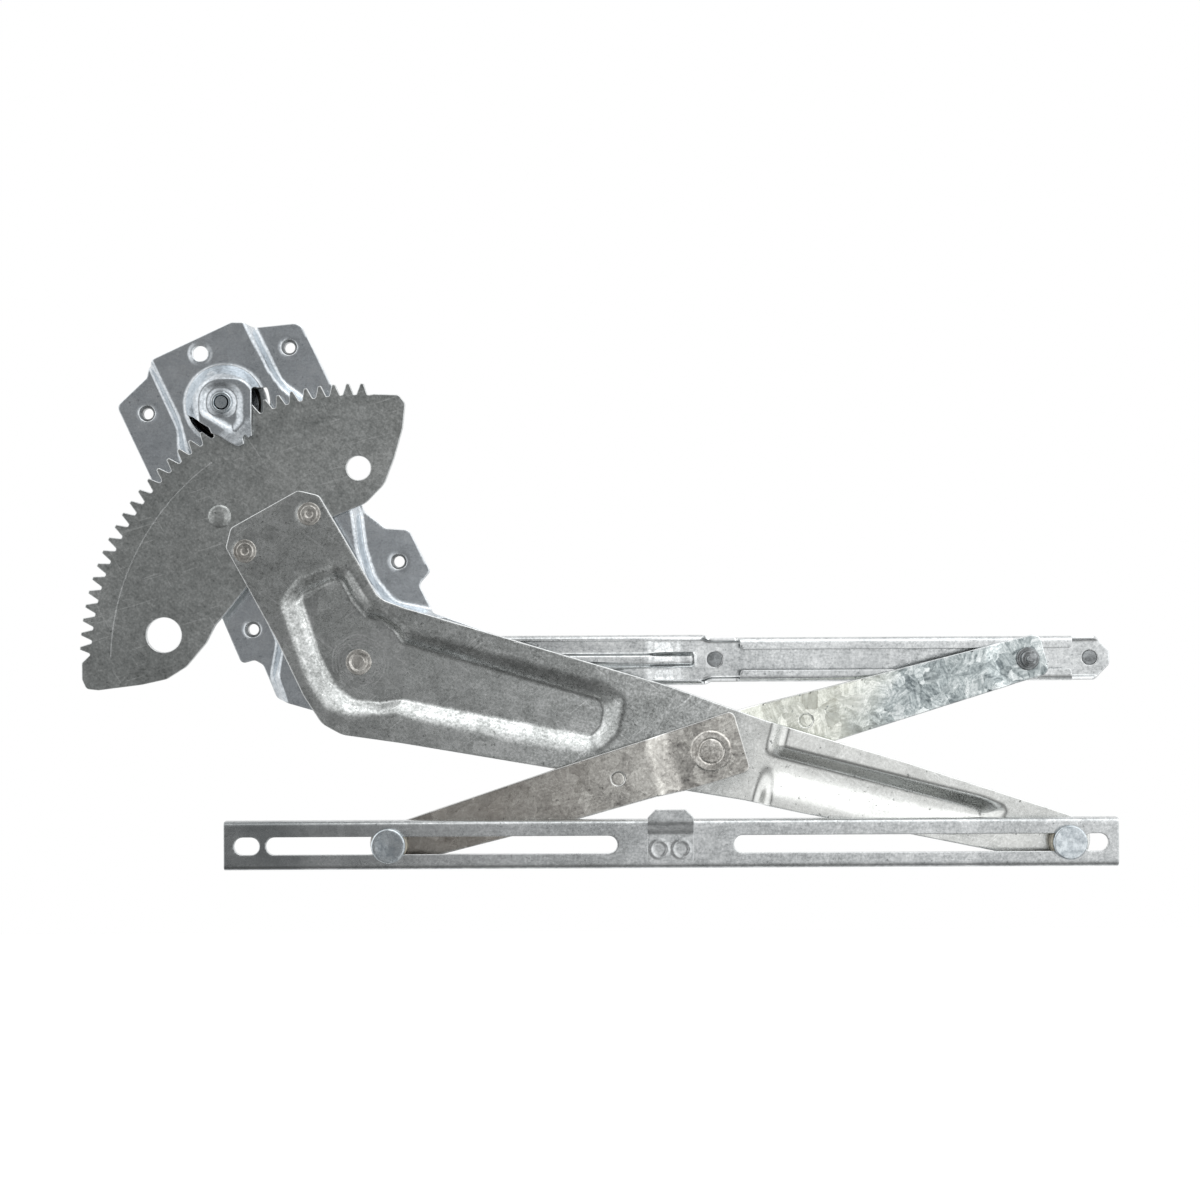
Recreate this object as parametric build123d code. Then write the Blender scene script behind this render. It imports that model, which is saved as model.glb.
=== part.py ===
"""Hand-cranked X-arm window regulator for a left front door, as its separate steel and nylon pieces.

X runs along the door, Z is up, and the viewer on the glass side looks along +Y.
Depth is counted from the door's inner panel towards the glass, so a depth d lies at Y = -d.
The origin is the middle of the four mounting nuts, in the plane where they meet the panel.
"""
import os
from math import asin, cos, degrees, pi, radians, sin, tan

from build123d import *

os.makedirs("parts", exist_ok=True)

# Sheet gauges and running gaps
BASE_T = 2.0
ARM_T = 2.5
SECTOR_T = 3.0
RAIL_T = 1.5
PLAY = 0.3
PIN_PLAY = 0.05

# Linkage: the lift arm turns on the main pivot, the balance arm on the lift arm's middle
PIVOT_X, PIVOT_Z = 40.0, -78.9
LIFT_HALF = 162.6
BALANCE_HALF = 148.6
LIFT_REST = 14.35

# Gear: a toothed sector about the main pivot, and the pinion on the crank
MODULE = 2.0
SECTOR_TEETH = 123
PINION_TEETH = 8
PRESSURE = 20.0
BACKLASH = 0.3
PINION_TURN = 117.3
FIRST_TOOTH = 88.99
LAST_TOOTH = 178.3
PINION_FACE = 5.0
TOOLING_HOLE, TOOLING_R = (-87.1, 12.7), 7.8
SMALL_TOOLING_HOLE, SMALL_TOOLING_R = (0.5, 87.1), 5.4

# Base plate: ears on the panel, a raised middle, and a dome over the pinion
PLATE_TURN = 24.7
NUT_HEIGHT = 5.0
RAISE = 7.0
RAISE_DRAFT = 32.0
DOME_R = 18.0
DOME_RISE = 10.0
DOME_DRAFT = 39.0
TONGUE_HOLE_R = 10.4
LOCATING_R = 3.4
LOCATING_SPOT = (-3.0, 67.8)
NUT_SPOTS = [(-37.0, 54.5), (34.0, 54.5), (38.0, -54.5), (-35.0, -54.5)]
NUT_HOLE_R = 3.5
NUT_BODY_R = 5.0
NUT_FLANGE_R = 6.3
NUT_FLANGE_T = 1.2
THREAD_R = 2.5

# Crank and its spring brake
JOURNAL_R = 2.7
COLLAR_R = 4.6
SPINDLE_R = 6.0
SPINDLE_OUT = 30.0
SERRATION_LENGTH = 16.0
SERRATIONS = 24
SERRATION_CUT = 0.5
DRUM_R = 17.5
DRUM_T = 1.5
DRUM_DEPTH = 16.0
DRUM_FLANGE_R = 18.6
WIRE = 1.6
WIRE_GAP = 0.25
COILS = 3.7
CORE_R = 12.3
CORE_BORE_R = 9.0
CORE_HUB_R = 5.0
CORE_PLATE_T = 1.6
PINION_CORE_HALF = 35.0
SPINDLE_CORE_HALF = 105.0
BUSH_T = 1.0
BUSH_FLANGE_R = 7.0
BUSH_FLANGE_T = 0.6
BUSH_COLLAR_T = 1.6

# Lift arm and its pressed well
ARM_WELL = 4.5
WELL_DRAFT = 40.0
CHANNEL_DRAFT = 32.0
WASHER_T = 1.0
WASHER_R = 9.0
PIVOT_R = 4.5
PIVOT_HEAD_R = 5.8
PIVOT_HEAD_T = 1.1
LIFT_STEP_BEYOND = 23.4
LIFT_STEP_RUN = 8.0
LIFT_END_HALF = 12.6
CHANNEL_HIGH, CHANNEL_LOW = 10.7, -3.4
CHANNEL_SHORT = 30.7
WELL_SHORT = 45.6
RIVET_SPOTS = [(-37.3, 59.1), (-61.1, 36.0)]
RIVET_R = 3.6
RIVET_HEAD_R = 5.2
RIVET_HEAD_T = 0.6

# Balance arm halves on either side of the lift arm
PAD = 15.0
BALANCE_STEP_START = 18.0
BALANCE_STEP_RUN = 8.0
FRONT_STEP = 3.0
REAR_STEP = 3.0
REAR_END_STEP = 1.0
REAR_END_REACH = 15.6
REAR_END_RUN = 4.0
BALANCE_ROOT_HALF = 13.4
BALANCE_TIP_HALF = 9.0
CENTRE_R = 6.5
CENTRE_BUSH_T = 1.5
CENTRE_HEAD_R = 9.3
CENTRE_HEAD_T = 0.8
DIMPLE_R = 3.0
DIMPLE_DEPTH = 0.9

# Nylon rollers and the studs that carry them
LOWER_ROLLER_R = 8.0
ROLLER_CHAMFER = 1.2
GUIDE_ROLLER_R = 7.25
STUD_R = 2.75
STUD_HEAD_R = 7.6
STUD_HEAD_T = 2.6
STUD_TAIL_R = 5.0
STUD_TAIL_T = 1.0
GUIDE_BOSS_R = 5.2
GUIDE_BOSS_T = 1.5
GUIDE_STEP_R = 3.8
GUIDE_STEP_T = 4.5
GUIDE_NUB_R = 1.8
GUIDE_NUB_T = 3.0

# Lower rail, bolted to the glass, with its slots
LOWER_PAST_LEFT, LOWER_PAST_RIGHT = 72.9, 21.9
LOWER_DEPTH = 7.5
LOWER_BEND = 3.5
ROLLER_GAP = 1.25
SLOT_HEIGHT = 8.0
LEFT_SLOT_REACH = (54.0, 100.9)
RIGHT_SLOT_REACH = (148.0, 3.8)
OVAL_LENGTH = 11.0
OVAL_INSET = 10.3
CLIP_OFFSET = 18.6
CLIP_WIDTH = 20.4
CLIP_FOOT = 14.0
CLIP_STEP = 4.0
CLIP_RUN = 4.5
CLIP_TAB = 6.0

# Fixed rail on the panel, with a stem that laps onto the base plate
RAIL_DEPTH = 12.0
GUIDE_GAP = 1.25
LIP_OPENING = 9.2
LIP_REACH = (128.8, 20.1)
FLANGE_PAST = 31.9
RAIL_PAST = 39.6
STEM_PAST = 34.0
STEM_LAP = 30.0
STEM_HALF = 11.3
STEM_SHORT = 16.8
JOGGLE_BACK = (26.2, 9.0)
RIB_HALF = 2.9
RIB_RISE = 1.2
RIB_SHORT = 3.0
LEFT_STUD_PAST, RIGHT_STUD_SHORT = 5.4, 1.4
PANEL_STUD_R = 3.0
PANEL_STUD_HEAD_R = 3.45
PANEL_STUD_OUT = 13.0
LAP_RIVET_PITCH = 9.0
LAP_RIVET_R = 2.0
LAP_RIVET_HEAD_R = 3.5
LAP_RIVET_HEAD_T = 1.0

# Depth levels that follow: each is the panel side of its piece
EAR_D = NUT_HEIGHT
MIDDLE_D = EAR_D + RAISE
WELL_D = MIDDLE_D + BASE_T + WASHER_T
ARM_D = WELL_D + ARM_WELL
SECTOR_D = ARM_D - SECTOR_T
FRONT_PAD_D = ARM_D + ARM_T + PLAY
FRONT_D = FRONT_PAD_D + FRONT_STEP
REAR_PAD_D = ARM_D - PLAY - ARM_T
REAR_D = REAR_PAD_D - REAR_STEP
REAR_END_D = REAR_D - REAR_END_STEP
LOWER_D = FRONT_D + ARM_T + 2 * PLAY
LOWER_FACE = LOWER_D + LOWER_DEPTH
STEM_D = EAR_D + BASE_T
DOME_D = MIDDLE_D + DOME_RISE
PINION_D = SECTOR_D - (PINION_FACE - SECTOR_T) / 2
CORE_D = MIDDLE_D - DRUM_DEPTH + DRUM_T + PLAY
CORE_END_D = MIDDLE_D - DRUM_T

# Places that follow from the linkage at rest
DROP = LIFT_HALF * sin(radians(LIFT_REST))
BALANCE_REST = degrees(asin(DROP / BALANCE_HALF))
CENTRE_X = PIVOT_X + LIFT_HALF * cos(radians(LIFT_REST))
CENTRE_Z = PIVOT_Z - DROP
LOWER_HALF = LOWER_ROLLER_R + ROLLER_GAP + RAIL_T
GUIDE_HALF = GUIDE_ROLLER_R + GUIDE_GAP + RAIL_T
LOWER_Z = PIVOT_Z - 2 * DROP
LIFT_END_X = PIVOT_X + 2 * LIFT_HALF * cos(radians(LIFT_REST))
FRONT_END_X = CENTRE_X - BALANCE_HALF * cos(radians(BALANCE_REST))
REAR_END_X = CENTRE_X + BALANCE_HALF * cos(radians(BALANCE_REST))
LIFT_STEP_START = LIFT_HALF + LIFT_STEP_BEYOND
WELL_END = LIFT_HALF - WELL_SHORT
CHANNEL_END = 2 * LIFT_HALF - CHANNEL_SHORT
REAR_END_START = BALANCE_HALF - REAR_END_REACH
LOWER_LEFT, LOWER_RIGHT = FRONT_END_X - LOWER_PAST_LEFT, LIFT_END_X + LOWER_PAST_RIGHT
LEFT_SLOT = (FRONT_END_X - LEFT_SLOT_REACH[0], FRONT_END_X + LEFT_SLOT_REACH[1])
RIGHT_SLOT = (LIFT_END_X - RIGHT_SLOT_REACH[0], LIFT_END_X + RIGHT_SLOT_REACH[1])
CLIP_X = CENTRE_X - CLIP_OFFSET
LIP_LEFT, LIP_RIGHT = REAR_END_X - LIP_REACH[0], REAR_END_X + LIP_REACH[1]
FLANGE_RIGHT = REAR_END_X + FLANGE_PAST
RAIL_RIGHT = REAR_END_X + RAIL_PAST
STEM_LEFT = PIVOT_X + STEM_PAST
STEM_RIGHT = LIP_LEFT - STEM_SHORT
JOGGLE_LEFT, JOGGLE_RIGHT = STEM_RIGHT - JOGGLE_BACK[0], STEM_RIGHT - JOGGLE_BACK[1]
RIB_RIGHT = STEM_RIGHT - RIB_SHORT
PANEL_STUD_X = (STEM_RIGHT + LEFT_STUD_PAST, FLANGE_RIGHT - RIGHT_STUD_SHORT)
PITCH_R = MODULE * SECTOR_TEETH / 2
PINION_PITCH_R = MODULE * PINION_TEETH / 2
PINION_X = PIVOT_X + (PITCH_R + PINION_PITCH_R) * cos(radians(PINION_TURN))
PINION_Z = PIVOT_Z + (PITCH_R + PINION_PITCH_R) * sin(radians(PINION_TURN))


def turned_frame(x, z, turn):
    """Frame with its origin over (x, z), turned by degrees as the viewer sees it."""
    return Pos(x, 0, z) * Rot(0, -turn, 0)


LIFT_FRAME = turned_frame(PIVOT_X, PIVOT_Z, -LIFT_REST)
FRONT_FRAME = turned_frame(CENTRE_X, CENTRE_Z, 180 + BALANCE_REST)
REAR_FRAME = turned_frame(CENTRE_X, CENTRE_Z, BALANCE_REST)
SECTOR_FRAME = turned_frame(PIVOT_X, PIVOT_Z, 0)
PINION_FRAME = turned_frame(PINION_X, PINION_Z, 0)
PLATE_FRAME = turned_frame(0, 0, PLATE_TURN)
LOWER_FRAME = turned_frame(0, LOWER_Z, 0)
GUIDE_FRAME = turned_frame(0, PIVOT_Z, 0)


def slab(sketch, depth, thickness):
    """Flat piece cut to a sketch, from a depth towards the viewer."""
    return extrude(Plane.XZ.offset(depth) * sketch, amount=thickness)


def frustum(sketch, depth, rise, draft):
    """Sketch drawn out from a depth, narrowing by the draft; a negative rise goes to the panel."""
    return extrude(Plane.XZ.offset(depth) * sketch, amount=rise, taper=draft)


def disc(x, z, radius):
    """Round outline."""
    return Pos(x, z) * Circle(radius)


def bar(x, z, radius, start, end):
    """Round bar along the depth."""
    return slab(disc(x, z, radius), start, end - start)


def outline(points, radii):
    """Closed outline with a radius at each corner."""
    return make_face(FilletPolyline(*points, radius=radii, close=True).edges())


def bent_sheet(shape, stations, thickness):
    """Sheet bent along its length, cut to an outline; stations give x and panel-side depth."""
    reach = 400.0
    back = [(x, -d) for x, d in stations]
    front = [(x, -d - thickness) for x, d in reversed(stations)]
    ribbon = extrude(Plane.XY * make_face(Polyline(*back, *front, close=True).edges()), amount=reach, both=True)
    deepest = max(d for _, d in stations) + thickness
    return ribbon & slab(shape, -1, deepest + 2)


def pinion_tooth_half(share):
    """Half thickness of a pinion tooth, as a share of the module."""
    return share * MODULE


def sector_outline():
    """Toothed rim over a blade with two lobes, about the main pivot."""
    pitch = 360 / SECTOR_TEETH
    tip_r = PITCH_R + MODULE
    root_r = PITCH_R - 1.5 * MODULE
    half_pitch = (pi * MODULE / 2 - BACKLASH) / 2
    lean = tan(radians(PRESSURE))
    tip_half = degrees((half_pitch - MODULE * lean) / tip_r)
    root_half = degrees((half_pitch + 1.4 * MODULE * lean) / root_r)
    rim = []
    angle = FIRST_TOOTH
    while angle < LAST_TOOTH:
        for radius, swing in ((root_r, -root_half), (tip_r, -tip_half), (tip_r, tip_half), (root_r, root_half)):
            turn = radians(angle + swing)
            rim.append((radius * cos(turn), radius * sin(turn)))
        angle += pitch
    low = PITCH_R + 1.0
    left = [(-low, 0.4), (-low, -12.2), (-0.79 * low, -9.8), (-0.64 * low, -3.0), (-0.53 * low, 15.5)]
    under = [(-50.2, 33.6), (-38.0, 48.0), (-10.3, 65.6)]
    stop = radians(FIRST_TOOTH - pitch + tip_half)
    stop_root = radians(FIRST_TOOTH - pitch + root_half)
    lobe = [(low * cos(stop), low * sin(stop)), (root_r * cos(stop_root), root_r * sin(stop_root))]
    right = [(3.6, 71.2), (13.0, 80.0), (20.4, 104.0), (22.3, low - 2.0), *lobe]
    radii = [0] * len(rim) + [0.8, 5, 12, 30, 0, 0, 0, 20, 10, 14, 20, 5, 0.8, 0]
    return outline(rim + left + under + right, radii)


def pinion_outline():
    """Eight teeth with waists narrowed below the pitch circle, so that the sector's tips clear them."""
    root_r = PINION_PITCH_R - 1.3 * MODULE
    tip_r = PINION_PITCH_R + 0.9 * MODULE
    waist_r = PINION_PITCH_R - 0.75 * MODULE
    flank_r = PINION_PITCH_R - 0.1 * MODULE
    stations = (
        (root_r, pinion_tooth_half(0.70)), (waist_r, pinion_tooth_half(0.62)), (flank_r, pinion_tooth_half(0.74)),
        (PINION_PITCH_R + 0.4 * MODULE, pinion_tooth_half(0.58)), (tip_r, pinion_tooth_half(0.24)),
    )
    mesh_offset = (PINION_TURN - FIRST_TOOTH) % (360 / SECTOR_TEETH)
    first = PINION_TURN + 180 + 180 / PINION_TEETH + mesh_offset * SECTOR_TEETH / PINION_TEETH
    points = []
    for tooth in range(PINION_TEETH):
        angle = radians(first + tooth * 360 / PINION_TEETH)
        flank = [(r * cos(half / r), r * sin(half / r)) for r, half in stations]
        whole = [(a, -b) for a, b in flank] + [(a, b) for a, b in reversed(flank)]
        points += [(a * cos(angle) - b * sin(angle), a * sin(angle) + b * cos(angle)) for a, b in whole]
    return outline(points, [0] * len(points))


def base_plate():
    """Pressed plate: ears, raised middle, lapped tail, and the dome with its tongue over the teeth."""
    tail = outline(
        [(20, -60), (73.5, -56.5), (STEM_LEFT + STEM_LAP, -68), (STEM_LEFT + STEM_LAP, -90),
         (72, -101), (40, -107), (12, -98)], [0, 3, 4, 4, 8, 20, 6])
    ears = outline(
        [(-48.2, 62.8), (-30.8, 68.1), (-28.4, 73.6), (-22.3, 76.0), (17.0, 74.3), (24.0, 69.0), (42.0, 63.4),
         (44.6, 24.0), (34.5, 14.0), (34.0, -30.0), (39.2, -38.4), (48.2, -43.6), (49.2, -64.7), (41.8, -68.0),
         (42.4, -84.0), (-26.0, -99.0), (-38.2, -88.0), (-37.6, -70.4), (-45.8, -66.4), (-46.2, -43.4),
         (-32.0, -36.5), (-33.0, 14.0), (-47.9, 25.0)],
        [3, 2, 2, 4, 6, 4, 5, 4, 5, 5, 3, 2, 2, 3, 0, 6, 4, 4, 1.5, 2, 4, 5, 3])
    plan = ears + Rot(0, 0, -PLATE_TURN) * tail
    middle = outline(
        [(-26.5, 95), (19.8, 95), (25.5, 31), (32.0, -8), (31.5, -28), (27.0, -44), (26.0, -58), (29.5, -70),
         (37.0, -78), (19.0, -117.5), (-38.0, -130), (-34.0, -88), (-32.0, -61), (-27.5, -34), (-25.5, 20)],
        [0, 0, 16, 16, 14, 14, 14, 14, 8, 8, 0, 0, 12, 12, 12])
    dome_x = PINION_X * cos(radians(PLATE_TURN)) + PINION_Z * sin(radians(PLATE_TURN))
    dome_z = -PINION_X * sin(radians(PLATE_TURN)) + PINION_Z * cos(radians(PLATE_TURN))
    to_rear = Pos(0, BASE_T, 0)
    table = frustum(middle, EAR_D + BASE_T, RAISE, RAISE_DRAFT)
    dome = frustum(disc(dome_x, dome_z, DOME_R), MIDDLE_D + BASE_T, DOME_RISE, DOME_DRAFT)
    plate = slab(plan, EAR_D, BASE_T) + (table & slab(plan, EAR_D, 20)) + dome
    plate -= to_rear * table
    plate -= to_rear * dome
    local = PLATE_FRAME * plate
    rim_play = 0.8
    sweep_r = PITCH_R + MODULE + rim_play
    slot = disc(0, 0, sweep_r) - disc(0, 0, PITCH_R - 4 * DOME_R / 3)
    reach = disc(PINION_X - PIVOT_X, PINION_Z - PIVOT_Z, DOME_R + 0.5)
    local -= SECTOR_FRAME * slab(slot & reach, SECTOR_D - 1.2, SECTOR_T + 2.4)
    tongue = outline([(-15.0, 4.0), (-15.9, -7.4), (6.4, -19.4), (13.3, -16.8), (13.3, 8.0), (0, 10)],
                     [0, 1, 2, 2, 0, 0])
    beyond = disc(0, 0, DOME_R + 6) - outline(
        [(-22, 22), (-22, -4.2), (6.4, -19.5), (13.4, -16.8), (13.4, 8.2), (22, 8.2), (22, 22)], [0] * 7)
    local -= PINION_FRAME * slab(beyond, MIDDLE_D + BASE_T, DOME_RISE + 5)
    cover_d = SECTOR_D + SECTOR_T + 0.9
    local += PINION_FRAME * (slab(tongue & disc(0, 0, 21), cover_d, BASE_T) - bar(0, 0, TONGUE_HOLE_R, 0, 40))
    local -= PINION_FRAME * bar(0, 0, DRUM_R - DRUM_T - 2.5, MIDDLE_D - 1, MIDDLE_D + BASE_T)
    local -= PINION_FRAME * bar(0, 0, COLLAR_R, MIDDLE_D, DOME_D + BASE_T + 5)
    holes = [disc(x, z, NUT_HOLE_R) for x, z in NUT_SPOTS] + [disc(*LOCATING_SPOT, LOCATING_R)]
    local -= PLATE_FRAME * slab(Sketch() + holes, 0, 30)
    local -= SECTOR_FRAME * bar(0, 0, PIVOT_R, 0, 30)
    return local - lap_rivet_bars(0)


def weld_nuts():
    """Four round weld nuts behind the ears; their open ends are the seats on the door panel."""
    nut = bar(0, 0, NUT_BODY_R, 0, NUT_HEIGHT) + bar(0, 0, NUT_FLANGE_R, NUT_HEIGHT - NUT_FLANGE_T, NUT_HEIGHT)
    nut -= bar(0, 0, THREAD_R, -1, NUT_HEIGHT + 1)
    return PLATE_FRAME * Compound(children=[Pos(x, 0, z) * nut for x, z in NUT_SPOTS])


def lap_rivet_bars(grow):
    """Shanks of the rivets through the lapped stem and tail."""
    middle = STEM_LEFT + STEM_LAP / 2
    shanks = [bar(middle + i * LAP_RIVET_PITCH, 0, LAP_RIVET_R + grow, EAR_D, STEM_D + RAIL_T) for i in (-1, 0, 1)]
    return GUIDE_FRAME * Compound(children=shanks)


def lap_rivets():
    """Three rivets that join the stem to the base plate."""
    middle = STEM_LEFT + STEM_LAP / 2
    rivet = bar(0, 0, LAP_RIVET_R, EAR_D, STEM_D + RAIL_T)
    rivet += bar(0, 0, LAP_RIVET_HEAD_R, STEM_D + RAIL_T, STEM_D + RAIL_T + LAP_RIVET_HEAD_T)
    rivet += bar(0, 0, LAP_RIVET_HEAD_R, EAR_D - LAP_RIVET_HEAD_T, EAR_D)
    spots = [middle + i * LAP_RIVET_PITCH for i in (-1, 0, 1)]
    return GUIDE_FRAME * Compound(children=[Pos(x, 0, 0) * rivet for x in spots])


def rail_web(grow):
    """Side line of the fixed rail's web, lifted by grow: level stem, joggle, level rail."""
    return [(STEM_LEFT, STEM_D + grow), (JOGGLE_LEFT, STEM_D + grow), (JOGGLE_RIGHT, grow), (RAIL_RIGHT, grow)]


def fixed_rail():
    """Channel with inturned lips on the panel, and its deeper stem on the base plate."""
    plan = outline(
        [(STEM_LEFT, STEM_HALF), (STEM_RIGHT, STEM_HALF), (STEM_RIGHT + 4, GUIDE_HALF), (FLANGE_RIGHT, GUIDE_HALF),
         (RAIL_RIGHT, 0.35 * GUIDE_HALF), (RAIL_RIGHT, -0.35 * GUIDE_HALF), (FLANGE_RIGHT, -GUIDE_HALF),
         (STEM_RIGHT + 4, -GUIDE_HALF), (STEM_RIGHT, -STEM_HALF), (STEM_LEFT, -STEM_HALF)],
        [0, 2, 2, 3, 3, 3, 3, 2, 2, 0])
    inside = outline(
        [(STEM_LEFT - 1, STEM_HALF - RAIL_T), (STEM_RIGHT - 1, STEM_HALF - RAIL_T),
         (STEM_RIGHT + 3, GUIDE_HALF - RAIL_T), (RAIL_RIGHT + 1, GUIDE_HALF - RAIL_T),
         (RAIL_RIGHT + 1, -GUIDE_HALF + RAIL_T), (STEM_RIGHT + 3, -GUIDE_HALF + RAIL_T),
         (STEM_RIGHT - 1, -STEM_HALF + RAIL_T), (STEM_LEFT - 1, -STEM_HALF + RAIL_T)], [0] * 8)
    walls = Polyline(*[(x, -d) for x, d in rail_web(0)], (RAIL_RIGHT, -RAIL_DEPTH), (STEM_LEFT, -RAIL_DEPTH), close=True)
    block = extrude(Plane.XY * make_face(walls.edges()), amount=2 * STEM_HALF, both=True) & slab(plan, -1, 20)
    void = Polyline(*[(x, -d) for x, d in rail_web(RAIL_T)], (RAIL_RIGHT + 1, -RAIL_T), (RAIL_RIGHT + 1, -30),
                    (STEM_LEFT - 1, -30), (STEM_LEFT - 1, -STEM_D - RAIL_T), close=True)
    hollow = extrude(Plane.XY * make_face(void.edges()), amount=2 * STEM_HALF, both=True)
    rail = block - (hollow & slab(inside, -1, 40))
    rail -= slab(Pos(FLANGE_RIGHT + 20, 0) * Rectangle(40, 40), RAIL_T, 30)
    lip_width = GUIDE_HALF - LIP_OPENING / 2
    for side in (1, -1):
        lip = Pos((LIP_LEFT + LIP_RIGHT) / 2, side * (GUIDE_HALF - lip_width / 2))
        rail += slab(lip * Rectangle(LIP_RIGHT - LIP_LEFT, lip_width), RAIL_DEPTH - RAIL_T, RAIL_T)
    rib_left = STEM_LEFT + STEM_LAP
    rib = outline([(rib_left, RIB_HALF), (RIB_RIGHT, RIB_HALF), (RIB_RIGHT, -RIB_HALF), (rib_left, -RIB_HALF)],
                  [1, 2.5, 2.5, 1])
    groove = Pos((rib_left + RIB_RIGHT) / 2, 0) * SlotOverall(RIB_RIGHT - rib_left - 2, 2 * RIB_HALF - 1.6)
    rail += bent_sheet(rib, rail_web(RIB_RISE), RAIL_T)
    rail -= bent_sheet(groove, rail_web(-0.5), RIB_RISE + 0.5)
    for x in PANEL_STUD_X:
        rail -= bar(x, 0, PANEL_STUD_HEAD_R, -1, 5)
    return GUIDE_FRAME * rail - lap_rivet_bars(0)


def panel_studs():
    """Two studs pressed into the fixed rail's web, their threads through the door panel."""
    stud = bar(0, 0, PANEL_STUD_HEAD_R, 0, RAIL_T - PLAY) + bar(0, 0, PANEL_STUD_R, -PANEL_STUD_OUT, 0)
    return GUIDE_FRAME * Compound(children=[Pos(x, 0, 0) * stud for x in PANEL_STUD_X])


def main_pivot():
    """Shouldered rivet that carries the lift arm on the base plate."""
    pin = bar(0, 0, PIVOT_R, MIDDLE_D, WELL_D + ARM_T + PIN_PLAY)
    pin += bar(0, 0, PIVOT_HEAD_R, WELL_D + ARM_T + PIN_PLAY, WELL_D + ARM_T + PIVOT_HEAD_T)
    pin += bar(0, 0, PIVOT_HEAD_R + 1, MIDDLE_D - 1.5, MIDDLE_D)
    return SECTOR_FRAME * pin


def pivot_washer():
    """Spring steel washer between the base plate and the lift arm."""
    ring = disc(0, 0, WASHER_R) - disc(0, 0, PIVOT_R + PIN_PLAY)
    return SECTOR_FRAME * slab(ring, MIDDLE_D + BASE_T, WASHER_T - PIN_PLAY)


def brake_drum():
    """Cup welded behind the base plate, in which the wrap spring grips."""
    cup = bar(0, 0, DRUM_R, MIDDLE_D - DRUM_DEPTH, MIDDLE_D) + bar(0, 0, DRUM_FLANGE_R, MIDDLE_D - DRUM_T, MIDDLE_D)
    cup -= bar(0, 0, DRUM_R - DRUM_T, MIDDLE_D - DRUM_DEPTH + DRUM_T, MIDDLE_D + 1)
    cup -= bar(0, 0, SPINDLE_R + BUSH_T, MIDDLE_D - DRUM_DEPTH - 1, MIDDLE_D)
    return PINION_FRAME * cup


def spindle_bush():
    """Bearing bush in the drum's end wall."""
    ring = disc(0, 0, SPINDLE_R + BUSH_T) - disc(0, 0, SPINDLE_R + PIN_PLAY)
    start = MIDDLE_D - DRUM_DEPTH
    return PINION_FRAME * slab(ring, start - 0.5, DRUM_T + 0.5)


def journal_bush():
    """Flanged bearing bush in the dome, around the pinion's front journal."""
    front = DOME_D + BASE_T
    bush = bar(0, 0, COLLAR_R, DOME_D, front + BUSH_COLLAR_T) + bar(0, 0, BUSH_FLANGE_R, front, front + BUSH_FLANGE_T)
    return PINION_FRAME * (bush - bar(0, 0, JOURNAL_R + PIN_PLAY, 0, 60))


def core_arc(middle, half):
    """Part ring of the brake core, as far as half on both sides of its middle angle."""
    far = 3 * CORE_R
    corners = [(far * cos(radians(a)), far * sin(radians(a))) for a in (middle - half, middle, middle + half)]
    wedge = outline([(0, 0), *corners], [0] * 4)
    return (Circle(CORE_R) - Circle(CORE_BORE_R)) & wedge


def pinion():
    """Pinion with its journal in the dome, its hub, and the driven half of the brake core."""
    gear = slab(pinion_outline(), PINION_D, PINION_FACE)
    gear += bar(0, 0, JOURNAL_R, PINION_D, DOME_D + BASE_T + 1.2)
    gear += bar(0, 0, CORE_HUB_R, CORE_D + CORE_PLATE_T + PLAY, PINION_D)
    gear += bar(0, 0, CORE_R, CORE_END_D - CORE_PLATE_T, CORE_END_D)
    gear += slab(core_arc(0, PINION_CORE_HALF), CORE_D + CORE_PLATE_T + PLAY, CORE_END_D - CORE_D - CORE_PLATE_T - PLAY)
    return PINION_FRAME * gear


def crank_spindle():
    """Spindle for the crank handle, with serrations, a clip groove, and the driving half of the brake core."""
    end = CORE_D - SPINDLE_OUT
    shaft = bar(0, 0, SPINDLE_R, end, CORE_D + 0.1) + bar(0, 0, CORE_R, CORE_D, CORE_D + CORE_PLATE_T)
    claw = CORE_END_D - CORE_D - 2 * CORE_PLATE_T - PLAY
    shaft += slab(core_arc(180, SPINDLE_CORE_HALF), CORE_D + CORE_PLATE_T, claw)
    tooth = Rectangle(2 * SERRATION_CUT, 2 * SERRATION_CUT, rotation=45)
    cuts = [Rot(0, 0, i * 360 / SERRATIONS) * Pos(SPINDLE_R, 0) * tooth for i in range(SERRATIONS)]
    shaft -= slab(Sketch() + cuts, end - 1, SERRATION_LENGTH + 1)
    clip_ring = disc(0, 0, SPINDLE_R + 1) - disc(0, 0, SPINDLE_R - 1)
    return PINION_FRAME * (shaft - slab(clip_ring, end + SERRATION_LENGTH + 2, 1.5))


def wrap_spring():
    """Coil spring that grips the drum until a core half turns it by its end."""
    coil_r = DRUM_R - DRUM_T - WIRE / 2 - WIRE_GAP
    pitch = WIRE + WIRE_GAP
    start = CORE_D + CORE_PLATE_T + WIRE / 2 + PLAY
    helix = Helix(pitch=pitch, height=COILS * pitch, radius=coil_r)
    spring = sweep(Plane(helix @ 0, z_dir=helix % 0) * Circle(WIRE / 2), path=helix, is_frenet=True)
    return PINION_FRAME * Pos(0, -start, 0) * Rot(90, 0, 0) * spring


def sector_gear():
    """Toothed sector, riveted behind the lift arm's head."""
    gear = slab(sector_outline(), SECTOR_D, SECTOR_T)
    gear -= bar(*TOOLING_HOLE, TOOLING_R, 0, 40)
    gear -= bar(*SMALL_TOOLING_HOLE, SMALL_TOOLING_R, 0, 40)
    return SECTOR_FRAME * gear - LIFT_FRAME * Compound(children=[bar(x, z, RIVET_R, 0, 40) for x, z in RIVET_SPOTS])


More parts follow.
